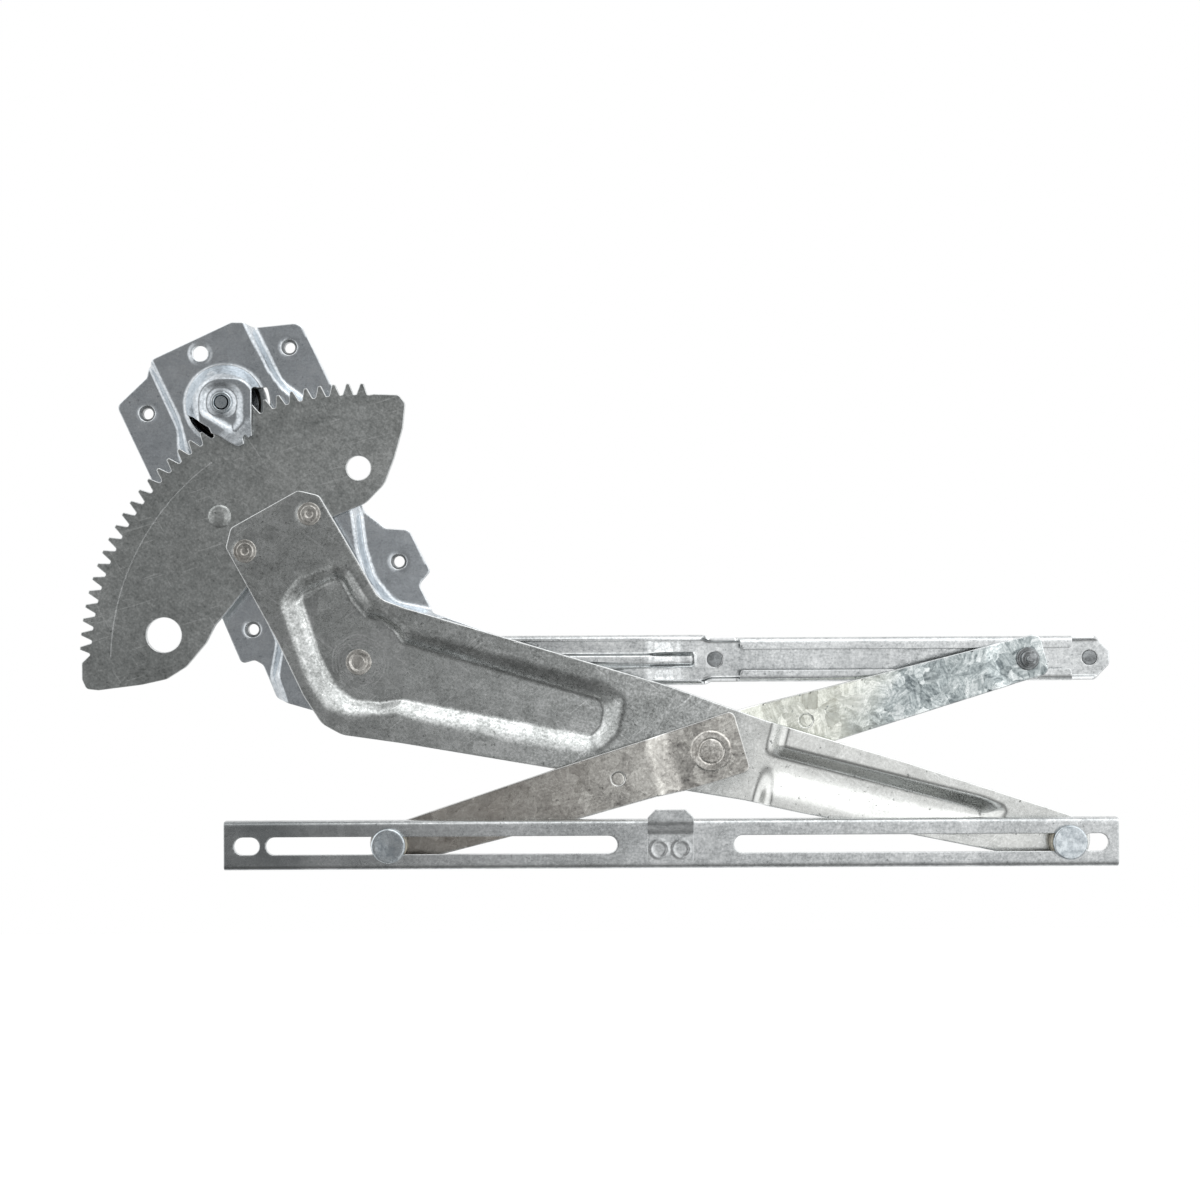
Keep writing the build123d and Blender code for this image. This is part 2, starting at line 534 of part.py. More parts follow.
def sector_rivets():
    """Two rivets between the lift arm's head and the sector."""
    rivet = bar(0, 0, RIVET_R, SECTOR_D, ARM_D + ARM_T)
    rivet += bar(0, 0, RIVET_HEAD_R, ARM_D + ARM_T, ARM_D + ARM_T + RIVET_HEAD_T)
    rivet += bar(0, 0, RIVET_HEAD_R, SECTOR_D - RIVET_HEAD_T, SECTOR_D)
    return LIFT_FRAME * Compound(children=[Pos(x, 0, z) * rivet for x, z in RIVET_SPOTS])


def lift_arm():
    """Long pressed arm: head for the sector, well round the pivot, step and channel to its end."""
    end = 2 * LIFT_HALF
    plan = outline(
        [(-69.9, 35.3), (-69.9, 44.5), (-44.8, 68.3), (-34.6, 68.3), (4.0, 28.9), (0.84 * LIFT_HALF, 23.6),
         (1.18 * LIFT_HALF, 18.6), (end - 8, LIFT_END_HALF), (end + LIFT_END_HALF, LIFT_END_HALF),
         (end + LIFT_END_HALF, -LIFT_END_HALF), (end - 30, -LIFT_END_HALF), (1.28 * LIFT_HALF, -16.9),
         (0.96 * LIFT_HALF, -20.1), (27.3, -30.4), (-8.5, -33.4)],
        [2, 3, 4, 3, 20, 0, 30, 0, 12, 12, 0, 0, 0, 30, 18])
    low = ARM_D
    high = FRONT_D
    stations = [(-100, low), (LIFT_STEP_START, low), (LIFT_STEP_START + LIFT_STEP_RUN, high), (end + 30, high)]
    arm = bent_sheet(plan, stations, ARM_T)
    well = outline(
        [(-36, 30.5), (-40, 18.5), (-17, -12.5), (-3, -22.3), (13, -19.3), (26, -14.0), (WELL_END, -11.0),
         (WELL_END, 17.4), (19, 18.4), (8, 26.5), (-2, 28.5), (-18.6, 44.5)],
        [8, 8, 14, 10, 10, 12, 7, 7, 8, 10, 8, 6])
    groove = outline(
        [(LIFT_STEP_START - 9, CHANNEL_HIGH), (CHANNEL_END, CHANNEL_HIGH), (CHANNEL_END, 1.5),
         (CHANNEL_END - 22.5, CHANNEL_LOW), (LIFT_STEP_START - 9, CHANNEL_LOW)],
        [0, 4.2, 5, 10, 0])
    to_rear = Pos(0, ARM_T, 0)
    pocket = frustum(well, ARM_D + ARM_T, -ARM_WELL, WELL_DRAFT)
    channel = frustum(groove, high + ARM_T, low - high, CHANNEL_DRAFT)
    clip = slab(plan & Pos(end / 2 + LIFT_STEP_START, 0) * Rectangle(end, 200), 0, 60)
    arm = arm + to_rear * pocket + (to_rear * channel & clip)
    arm -= pocket
    arm -= channel
    arm -= bar(0, 0, PIVOT_R + PIN_PLAY, 0, 60)
    arm -= bar(LIFT_HALF, 0, CENTRE_R + CENTRE_BUSH_T, 0, 60)
    arm -= bar(end, 0, STUD_R, 0, 60)
    for x, z in RIVET_SPOTS:
        arm -= bar(x, z, RIVET_R, 0, 60)
    return LIFT_FRAME * arm


def headed_stud(tail_d, face_d):
    """Stud through an arm, with a roller journal, a neck through the rail's slot and a broad head."""
    stud = bar(0, 0, STUD_R, tail_d, face_d + PLAY)
    stud += bar(0, 0, STUD_TAIL_R, tail_d - STUD_TAIL_T, tail_d)
    return stud + bar(0, 0, STUD_HEAD_R, face_d + PLAY, face_d + PLAY + STUD_HEAD_T)


def lift_stud():
    """Headed stud at the lift arm's end."""
    return LIFT_FRAME * Pos(2 * LIFT_HALF, 0, 0) * headed_stud(FRONT_D, LOWER_FACE)


def balance_stud():
    """Headed stud at the balance arm's end."""
    return FRONT_FRAME * Pos(BALANCE_HALF, 0, 0) * headed_stud(FRONT_D, LOWER_FACE)


def rail_roller():
    """Nylon roller between the arm and the lower rail's face."""
    start = FRONT_D + ARM_T + PIN_PLAY
    roller = bar(0, 0, LOWER_ROLLER_R, start, LOWER_FACE - RAIL_T - PLAY)
    roller = chamfer(roller.edges(), ROLLER_CHAMFER)
    return roller - bar(0, 0, STUD_R + PIN_PLAY, 0, 60)


def lift_roller():
    """Roller on the lift arm's stud."""
    return LIFT_FRAME * Pos(2 * LIFT_HALF, 0, 0) * rail_roller()


def balance_roller():
    """Roller on the balance arm's stud."""
    return FRONT_FRAME * Pos(BALANCE_HALF, 0, 0) * rail_roller()


def balance_plan():
    """Outline of one balance arm half: a square pad that tapers to a round end."""
    half = BALANCE_ROOT_HALF
    tip = BALANCE_TIP_HALF
    end = BALANCE_HALF
    return outline(
        [(-PAD, half), (PAD, half + 0.3), (0.45 * end, half - 1), (end + tip, tip), (end + tip, -tip),
         (0.45 * end, 1 - half), (PAD, -half), (-PAD, -half - 0.6)],
        [3, 20, 0, tip - 1, tip - 1, 0, 20, 3])


def balance_half(stations, dimple_x, dimple_d):
    """One pressed balance arm half with its pivot, stud and dimple."""
    half = bent_sheet(balance_plan(), stations, ARM_T)
    half -= bar(0, 0, CENTRE_R, 0, 60)
    half -= bar(BALANCE_HALF, 0, STUD_R, 0, 60)
    return half - bar(dimple_x, 0.5, DIMPLE_R, dimple_d + ARM_T - DIMPLE_DEPTH, 60)


def balance_arm_front():
    """Half in front of the lift arm, from the centre pin down to the lower rail."""
    step = BALANCE_STEP_START
    stations = [(-PAD - 5, FRONT_PAD_D), (step, FRONT_PAD_D), (step + BALANCE_STEP_RUN, FRONT_D),
                (BALANCE_HALF + 30, FRONT_D)]
    return FRONT_FRAME * balance_half(stations, 43.2, FRONT_D)


def balance_arm_rear():
    """Half behind the lift arm, from the centre pin up to the fixed rail."""
    step = BALANCE_STEP_START
    end = REAR_END_START
    stations = [(-PAD - 5, REAR_PAD_D), (step, REAR_PAD_D), (step + BALANCE_STEP_RUN, REAR_D), (end, REAR_D),
                (end + REAR_END_RUN, REAR_END_D), (BALANCE_HALF + 30, REAR_END_D)]
    return REAR_FRAME * balance_half(stations, 45.0, REAR_D)


def centre_pin():
    """Rivet pin that ties both balance halves through the lift arm."""
    front = FRONT_PAD_D + ARM_T
    pin = bar(0, 0, CENTRE_R, REAR_PAD_D, front) + bar(0, 0, CENTRE_HEAD_R, front, front + CENTRE_HEAD_T)
    pin += bar(0, 0, CENTRE_HEAD_R, REAR_PAD_D - CENTRE_HEAD_T, REAR_PAD_D)
    return REAR_FRAME * pin


def centre_bush():
    """Bush pressed into the lift arm around the centre pin."""
    ring = disc(0, 0, CENTRE_R + CENTRE_BUSH_T) - disc(0, 0, CENTRE_R + PIN_PLAY)
    return LIFT_FRAME * Pos(LIFT_HALF, 0, 0) * slab(ring, ARM_D - PLAY / 2, ARM_T + PLAY)


def guide_stud():
    """Stepped stud at the rear half's end, with a boss, a step and a nub on the glass side."""
    front = REAR_END_D + ARM_T
    stud = bar(0, 0, STUD_R, RAIL_T + PLAY, front) + bar(0, 0, GUIDE_BOSS_R, front, front + GUIDE_BOSS_T)
    stud += bar(0, 0, GUIDE_STEP_R, front + GUIDE_BOSS_T, front + GUIDE_BOSS_T + GUIDE_STEP_T)
    stud += bar(0, 0, GUIDE_NUB_R, front + GUIDE_BOSS_T, front + GUIDE_BOSS_T + GUIDE_STEP_T + GUIDE_NUB_T)
    stud += bar(0, 0, STUD_TAIL_R, RAIL_T + PLAY, RAIL_T + PLAY + STUD_TAIL_T)
    return REAR_FRAME * Pos(BALANCE_HALF, 0, 0) * stud


def guide_roller():
    """Nylon roller that runs inside the fixed rail, behind its lips."""
    start = RAIL_T + PLAY + STUD_TAIL_T + PIN_PLAY
    ring = disc(0, 0, GUIDE_ROLLER_R) - disc(0, 0, STUD_R + PIN_PLAY)
    return REAR_FRAME * Pos(BALANCE_HALF, 0, 0) * slab(ring, start, RAIL_DEPTH - RAIL_T - PLAY - start)


def lower_rail():
    """Channel that carries the glass, open to the arms, with two long slots and two oval holes."""
    outer = RectangleRounded(2 * LOWER_DEPTH, 2 * LOWER_HALF, LOWER_BEND)
    inner = RectangleRounded(2 * (LOWER_DEPTH - RAIL_T), 2 * (LOWER_HALF - RAIL_T), LOWER_BEND - RAIL_T)
    behind = Pos(LOWER_DEPTH, 0) * Rectangle(2 * LOWER_DEPTH, 3 * LOWER_HALF)
    section = Pos(-LOWER_D, 0) * (outer - inner - behind)
    rail = extrude(Plane.YZ.offset(LOWER_LEFT) * section, amount=LOWER_RIGHT - LOWER_LEFT)
    for left, right in (LEFT_SLOT, RIGHT_SLOT):
        rail -= slab(Pos((left + right) / 2, 0) * SlotOverall(right - left, SLOT_HEIGHT), LOWER_D, 20)
    for x in (LOWER_LEFT + OVAL_INSET, LOWER_RIGHT - OVAL_INSET):
        rail -= slab(Pos(x, 0) * SlotOverall(OVAL_LENGTH, SLOT_HEIGHT), LOWER_D, 20)
    return LOWER_FRAME * rail


def glass_clip():
    """Tab welded to the middle of the lower rail, stepped forward above it."""
    foot = LOWER_FACE
    tip = foot + CLIP_STEP
    knee = LOWER_HALF - 5.5
    line = [(knee - CLIP_FOOT, foot), (knee, foot), (knee + CLIP_RUN, tip), (knee + CLIP_RUN + CLIP_TAB, tip)]
    back = [(-d, z) for z, d in line]
    front = [(-d - RAIL_T, z) for z, d in reversed(line)]
    ribbon = extrude(Plane.YZ * make_face(Polyline(*back, *front, close=True).edges()), amount=CLIP_WIDTH / 2, both=True)
    top = knee + CLIP_RUN + CLIP_TAB
    bottom = knee - CLIP_FOOT
    side = CLIP_WIDTH / 2
    plan = outline([(-side, bottom), (side, bottom), (side, top - 4), (side - 4, top), (4 - side, top), (-side, top - 4)],
                   [2, 2, 0, 0, 0, 0])
    return LOWER_FRAME * Pos(CLIP_X, 0, 0) * (ribbon & slab(plan, 0, 80))


PIECES = {
    "base_plate": base_plate, "weld_nuts": weld_nuts, "fixed_rail": fixed_rail, "lap_rivets": lap_rivets,
    "panel_studs": panel_studs, "main_pivot": main_pivot, "pivot_washer": pivot_washer, "brake_drum": brake_drum,
    "spindle_bush": spindle_bush, "journal_bush": journal_bush, "pinion": pinion,
    "crank_spindle": crank_spindle, "wrap_spring": wrap_spring, "sector_gear": sector_gear,
    "sector_rivets": sector_rivets, "lift_arm": lift_arm, "centre_bush": centre_bush, "lift_stud": lift_stud,
    "lift_roller": lift_roller, "balance_arm_front": balance_arm_front, "balance_arm_rear": balance_arm_rear,
    "centre_pin": centre_pin, "balance_stud": balance_stud, "balance_roller": balance_roller,
    "guide_stud": guide_stud, "guide_roller": guide_roller, "lower_rail": lower_rail, "glass_clip": glass_clip,
}

for name, make in PIECES.items():
    export_step(make(), f"parts/{name}.step")
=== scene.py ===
"""Dressed look of a hand-cranked X-arm window regulator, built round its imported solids.

Lengths are in millimetres until a mesh is placed. X runs along the door and Z is up. A depth is
counted from the door's inner panel towards the viewer, who looks along +Y, so depth d lies at Y = -d.
A pressed sheet is a plan with round corners and a depth over it, worked out from distances to the
outlines of its pressings. Turned pieces are profiles carried round an axis along the depth.
"""
from __future__ import annotations

import logging
import math
from dataclasses import dataclass, field
from enum import Enum
from typing import Callable, Iterable, Optional, Sequence, Union

import bpy
import numpy as np
from mathutils import Euler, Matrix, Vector
from mathutils.geometry import tessellate_polygon


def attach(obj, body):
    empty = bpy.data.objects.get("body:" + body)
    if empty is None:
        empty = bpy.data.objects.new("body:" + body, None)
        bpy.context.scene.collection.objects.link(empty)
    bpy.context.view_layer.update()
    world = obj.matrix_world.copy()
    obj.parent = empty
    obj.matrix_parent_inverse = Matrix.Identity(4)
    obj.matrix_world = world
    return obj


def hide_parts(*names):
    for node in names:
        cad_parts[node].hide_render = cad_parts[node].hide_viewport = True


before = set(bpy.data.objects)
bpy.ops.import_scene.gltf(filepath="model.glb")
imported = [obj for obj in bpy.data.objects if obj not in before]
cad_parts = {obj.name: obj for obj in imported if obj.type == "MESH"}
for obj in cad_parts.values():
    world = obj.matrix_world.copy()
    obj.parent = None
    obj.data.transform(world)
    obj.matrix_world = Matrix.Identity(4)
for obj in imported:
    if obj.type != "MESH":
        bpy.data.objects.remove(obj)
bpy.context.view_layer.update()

Array = np.ndarray
Corners = Sequence[tuple[float, float]]
Tree = bpy.types.NodeTree
Socket = bpy.types.NodeSocket
Source = Union[bpy.types.Node, bpy.types.NodeSocket]
Surface = Callable[[Array], Array]
MM = 0.001
log = logging.getLogger("regulator")


class Body(Enum):
    """Moving bodies of the linkage."""

    BASE = "base"
    CRANK = "crank"
    LIFT = "lift"
    LIFT_ROLLER = "lift_roller"
    BALANCE = "balance"
    BALANCE_ROLLER = "balance_roller"
    GUIDE_ROLLER = "guide_roller"
    RAIL = "rail"


@dataclass(frozen=True)
class Place:
    """Local frame in the plane of the door: an origin, and a turn in degrees as the viewer sees it."""

    x: float
    z: float
    turn: float = 0.0

    def to_model(self, points: Array) -> Array:
        """Points (x, y, depth) of this frame as model points in metres.

        Args:
            points: Points in the piece's frame, in mm.

        Returns:
            The points in metres.
        """
        angle = math.radians(self.turn)
        along = self.x + points[:, 0] * math.cos(angle) - points[:, 1] * math.sin(angle)
        up = self.z + points[:, 0] * math.sin(angle) + points[:, 1] * math.cos(angle)
        return np.column_stack([along, -points[:, 2], up]) * MM

    def beyond(self, x: float, y: float) -> Place:
        """Frame with the same turn whose origin lies at (x, y) of this one.

        Args:
            x: Place along the piece's x in mm.
            y: Place along the piece's y in mm.

        Returns:
            The new frame.
        """
        angle = math.radians(self.turn)
        return Place(self.x + x * math.cos(angle) - y * math.sin(angle),
                     self.z + x * math.sin(angle) + y * math.cos(angle), self.turn)


@dataclass(frozen=True)
class Linkage:
    """Pivots and rest angles of the arms, and the gear that moves them."""

    pivot_x: float = 40.0
    pivot_z: float = -78.9
    lift_half: float = 162.6
    balance_half: float = 148.6
    lift_rest: float = 14.35
    module: float = 2.0
    sector_teeth: int = 123
    pinion_teeth: int = 8
    pinion_turn: float = 117.3
    plate_turn: float = 24.7

    @property
    def drop(self) -> float:
        """Height between one pivot of the lift arm and the next."""
        return self.lift_half * math.sin(math.radians(self.lift_rest))

    @property
    def balance_rest(self) -> float:
        """Angle of the balance arm to the rails."""
        return math.degrees(math.asin(self.drop / self.balance_half))

    @property
    def pivot(self) -> Place:
        """Main pivot, level."""
        return Place(self.pivot_x, self.pivot_z)

    @property
    def lift(self) -> Place:
        """Main pivot, turned along the lift arm."""
        return Place(self.pivot_x, self.pivot_z, -self.lift_rest)

    @property
    def centre(self) -> Place:
        """Crossing of the arms, level."""
        there = self.lift.beyond(self.lift_half, 0)
        return Place(there.x, there.z)

    @property
    def front(self) -> Place:
        """Crossing, turned along the front half of the balance arm."""
        return Place(self.centre.x, self.centre.z, 180 + self.balance_rest)

    @property
    def rear(self) -> Place:
        """Crossing, turned along the rear half of the balance arm."""
        return Place(self.centre.x, self.centre.z, self.balance_rest)

    @property
    def pinion(self) -> Place:
        """Axis of the pinion, one centre distance from the main pivot.

        Returns:
            Frame on the pinion's axis.
        """
        reach = self.module * (self.sector_teeth + self.pinion_teeth) / 2
        angle = math.radians(self.pinion_turn)
        return Place(self.pivot_x + reach * math.cos(angle), self.pivot_z + reach * math.sin(angle))

    @property
    def plate(self) -> Place:
        """Frame of the base plate and its four ears."""
        return Place(0, 0, self.plate_turn)

    @property
    def lower_rail(self) -> Place:
        """Middle line of the lower rail."""
        return Place(0, self.pivot_z - 2 * self.drop)

    @property
    def fixed_rail(self) -> Place:
        """Middle line of the fixed rail."""
        return Place(0, self.pivot_z)


@dataclass(frozen=True)
class Levels:
    """Depths of the viewer's side of each sheet, and the sheets' gauges."""

    base_gauge: float = 2.0
    arm_gauge: float = 2.5
    sector_gauge: float = 3.0
    rail_gauge: float = 1.5
    nut: float = 5.0
    ear: float = 7.0
    middle: float = 14.0
    sector: float = 19.5
    well: float = 17.5
    arm: float = 22.0
    dome: float = 24.0
    high: float = 27.8
    front_pad: float = 24.8
    rear_pad: float = 19.2
    rear: float = 16.2
    rear_end: float = 15.2
    lower_back: float = 28.4
    lower_face: float = 35.9
    fixed_lip: float = 12.0
    stem: float = 8.5


LINK = Linkage()
LEVEL = Levels()


def unit(vectors: Array) -> Array:
    """Rows scaled to length one."""
    size = np.linalg.norm(vectors, axis=1, keepdims=True)
    return vectors / np.maximum(size, 1e-12)


def rounded(corners: Corners, radii: Sequence[float] | float, step: float = 0.5,
            closed: bool = True) -> Array:
    """Line through corners, each replaced by an arc.

    The arc of radius r touches both sides at r / tan(half the corner's angle), and no farther than
    just under half the shorter side.

    Args:
        corners: Corner points in order.
        radii: One radius for each corner, or one for all.
        step: Longest chord of an arc.
        closed: Whether the last corner joins the first.

    Returns:
        Points of the line, without a repeat of the first.
    """
    points = np.asarray(corners, float)
    count = len(points)
    sizes = np.broadcast_to(np.asarray(radii, float), (count,))
    line = []
    for index, (corner, radius) in enumerate(zip(points, sizes)):
        at_end = not closed and index in (0, count - 1)
        to_last = points[index - 1] - corner
        to_next = points[(index + 1) % count] - corner
        room = 0.49 * min(np.linalg.norm(to_last), np.linalg.norm(to_next))
        u, v = unit(np.vstack([to_last, to_next]))
        half = math.acos(float(np.clip(u @ v, -1, 1))) / 2
        if at_end or radius <= 0 or half > 0.499 * math.pi:
            line.append(corner[None])
            continue
        reach = min(radius / math.tan(half), room)
        radius = reach * math.tan(half)
        middle = corner + (u + v) / np.linalg.norm(u + v) * radius / math.sin(half)
        start = math.atan2(*(corner + u * reach - middle)[::-1])
        sweep = math.atan2(*(corner + v * reach - middle)[::-1]) - start
        sweep = (sweep + math.pi) % (2 * math.pi) - math.pi
        angles = start + sweep * np.linspace(0, 1, max(3, 1 + math.ceil(abs(sweep) * radius / step)))
        line.append(middle + radius * np.column_stack([np.cos(angles), np.sin(angles)]))
    return np.vstack(line)


def circle(x: float, y: float, radius: float, step: float = 0.5) -> Array:
    """Closed round outline about (x, y), counter-clockwise."""
    turns = np.linspace(0, 2 * math.pi, max(16, math.ceil(2 * math.pi * radius / step)), endpoint=False)
    return np.column_stack([x + radius * np.cos(turns), y + radius * np.sin(turns)])


def stadium(left: float, right: float, y: float, height: float) -> Array:
    """Closed slot outline with round ends.

    Args:
        left: Left end in mm.
        right: Right end in mm.
        y: Place along the piece's y in mm.
        height: Height of the slot in mm.

    Returns:
        Corners of the slot.
    """
    half = height / 2
    corners = [(left, y - half), (right, y - half), (right, y + half), (left, y + half)]
    return rounded(corners, half * 0.999, 0.4)


def divided(line: Array, step: float, closed: bool = True) -> Array:
    """Line with its long sides cut into equal parts of at most a step.

    Args:
        line: Corners of the line.
        step: Longest part in mm.
        closed: Whether the line ends where it starts.

    Returns:
        Corners of the divided line.
    """
    ends = np.roll(line, -1, axis=0) if closed else line[1:]
    starts = line if closed else line[:-1]
    counts = np.maximum(1, np.ceil(np.linalg.norm(ends - starts, axis=1) / step)).astype(int)
    side = np.repeat(np.arange(len(starts)), counts)
    share = (np.arange(counts.sum()) - np.repeat(np.cumsum(counts) - counts, counts)) / counts[side]
    points = starts[side] + (ends - starts)[side] * share[:, None]
    return points if closed else np.vstack([points, line[-1:]])


def inside(points: Array, outline: Array) -> Array:
    """Distance to a closed outline, positive inside it.

    It is the least distance to any side, and a point is inside where a ray to the right crosses the
    outline an odd number of times.

    Args:
        points: Points in the piece's frame, in mm.
        outline: Corners of the outline.

    Returns:
        Distance of each point in mm.
    """
    best = np.full(len(points), np.inf)
    odd = np.zeros(len(points), bool)
    x, y = points[:, 0], points[:, 1]
    for (ax, ay), (bx, by) in zip(outline, np.roll(outline, -1, axis=0)):
        dx, dy = bx - ax, by - ay
        length = dx * dx + dy * dy
        if length < 1e-12:
            continue
        share = np.clip(((x - ax) * dx + (y - ay) * dy) / length, 0, 1)
        best = np.minimum(best, (x - ax - share * dx) ** 2 + (y - ay - share * dy) ** 2)
        if dy:
            odd ^= ((ay > y) != (by > y)) & (x < dx * (y - ay) / dy + ax)
    return np.where(odd, 1, -1) * np.sqrt(best)


def ramp(value: Array, width: float, soft: float) -> Array:
    """Rise from 0 at zero to 1 at the width: a straight slope with a parabola over soft at each end.

    Args:
        value: The value to start from.
        width: Width of the slope in mm.
        soft: Half length of the soft bends in mm.

    Returns:
        Rise at each value.
    """
    slope = 1 / (width - soft)
    value = np.clip(value, 0, width)
    low = slope * value ** 2 / (2 * soft)
    high = 1 - slope * (width - value) ** 2 / (2 * soft)
    return np.select([value < soft, value > width - soft], [low, high], slope * (value - soft / 2))


def sunk(plan: Array, x: float, y: float, radius: float, width: float, soft: float) -> Array:
    """Ramp inwards from a circle about (x, y), for dimples and bosses."""
    return ramp(radius - np.hypot(plan[:, 0] - x, plan[:, 1] - y), width, soft)


def pressing(points: Array, rim: Array, floor: Array, soft: float = 0.3, lean: float = 1.0) -> Array:
    """Share of a pressing's depth, 0 outside the rim and 1 over the floor.

    Between them it is the ramp of a / (a + b) to a power, with a the distance in from the rim and b the
    distance out from the floor. A power, the lean, above one starts softly at the rim and ends steeply.

    Args:
        points: Points in the piece's frame, in mm.
        rim: Outline of the pressing's rim.
        floor: Outline of the pressing's floor.
        soft: Half length of the soft bends in mm.
        lean: How far the wall leans, as a share of its width.

    Returns:
        Share at each point.
    """
    a = np.maximum(inside(points, rim), 0)
    b = np.maximum(-inside(points, floor), 0)
    return ramp((a / np.maximum(a + b, 1e-9)) ** lean, 1.0, soft)


def folded(along: Array, breaks: Sequence[float], corners: Sequence[tuple],
           radius: float) -> tuple[Array, Array]:
    """Point of a folded section at a length along it.

    The section runs straight from corner to corner. Within a radius of an inner corner it leaves the
    corner by the square of the share left, which gives a parabola that touches both sides.

    Args:
        along: Length along the section for each point.
        breaks: Lengths at which the corners lie.
        corners: (across, depth) of each corner, as numbers or arrays like along.
        radius: Reach of each rounded corner.

    Returns:
        Across and depth of each point.
    """
    spots = [np.stack([np.broadcast_to(np.asarray(value, float), along.shape) for value in pair])
             for pair in corners]
    slopes = [(b - a) / (t - s) for a, b, s, t in zip(spots, spots[1:], breaks, breaks[1:])]
    conditions, values = [], []
    for index in range(1, len(spots) - 1):
        near = np.abs(along - breaks[index]) < radius
        share = (along - breaks[index] + radius) / (2 * radius)
        conditions.append(near)
        before, after = slopes[index - 1] * radius, slopes[index] * radius
        values.append(spots[index] - before * (1 - share) ** 2 + after * share ** 2)
    for index, slope in enumerate(slopes):
        last = index == len(slopes) - 1
        conditions.append((along < breaks[index + 1]) | last)
        values.append(spots[index] + slope * (along - breaks[index]))
    across = np.select(conditions, [v[0] for v in values])
    depth = np.select(conditions, [v[1] for v in values])
    return across, depth


@dataclass
class Shape:
    """Mesh in a local frame: points (x, y, depth), smooth quads, and flat triangles."""

    points: Array
    quads: Array = field(default_factory=lambda: np.zeros((0, 4), int))
    triangles: Array = field(default_factory=lambda: np.zeros((0, 3), int))
    edge: Optional[Array] = None

    @property
    def edge_highlight(self) -> Array:
        """Share of the painted edge highlight at each point, none by default."""
        return np.zeros(len(self.points)) if self.edge is None else self.edge

    def placed(self, place: Place) -> Shape:
        """The same mesh in model metres."""
        return Shape(place.to_model(self.points), self.quads, self.triangles, self.edge)

    def level(self, place: Place) -> Shape:
        """The same mesh in the frame of the door's plane, still in millimetres.

        Args:
            place: The piece's own frame.

        Returns:
            The mesh in the door's frame.
        """
        model = place.to_model(self.points) / MM
        points = np.column_stack([model[:, 0], model[:, 2], -model[:, 1]])
        return Shape(points, self.quads, self.triangles, self.edge)

    def moved(self, x: float, y: float) -> Shape:
        """The same mesh at another place of its plan."""
        return Shape(self.points + [x, y, 0], self.quads, self.triangles, self.edge)


def joined(shapes: Iterable[Shape]) -> Shape:
    """One mesh that holds several, each still closed by itself.

    Args:
        shapes: The meshes to join.

    Returns:
        The joined mesh.
    """
    parts = list(shapes)
    starts = np.cumsum([0] + [len(part.points) for part in parts[:-1]])
    return Shape(np.vstack([part.points for part in parts]),
                 np.vstack([part.quads + start for part, start in zip(parts, starts)]),
                 np.vstack([part.triangles + start for part, start in zip(parts, starts)]),
                 np.concatenate([part.edge_highlight for part in parts]))


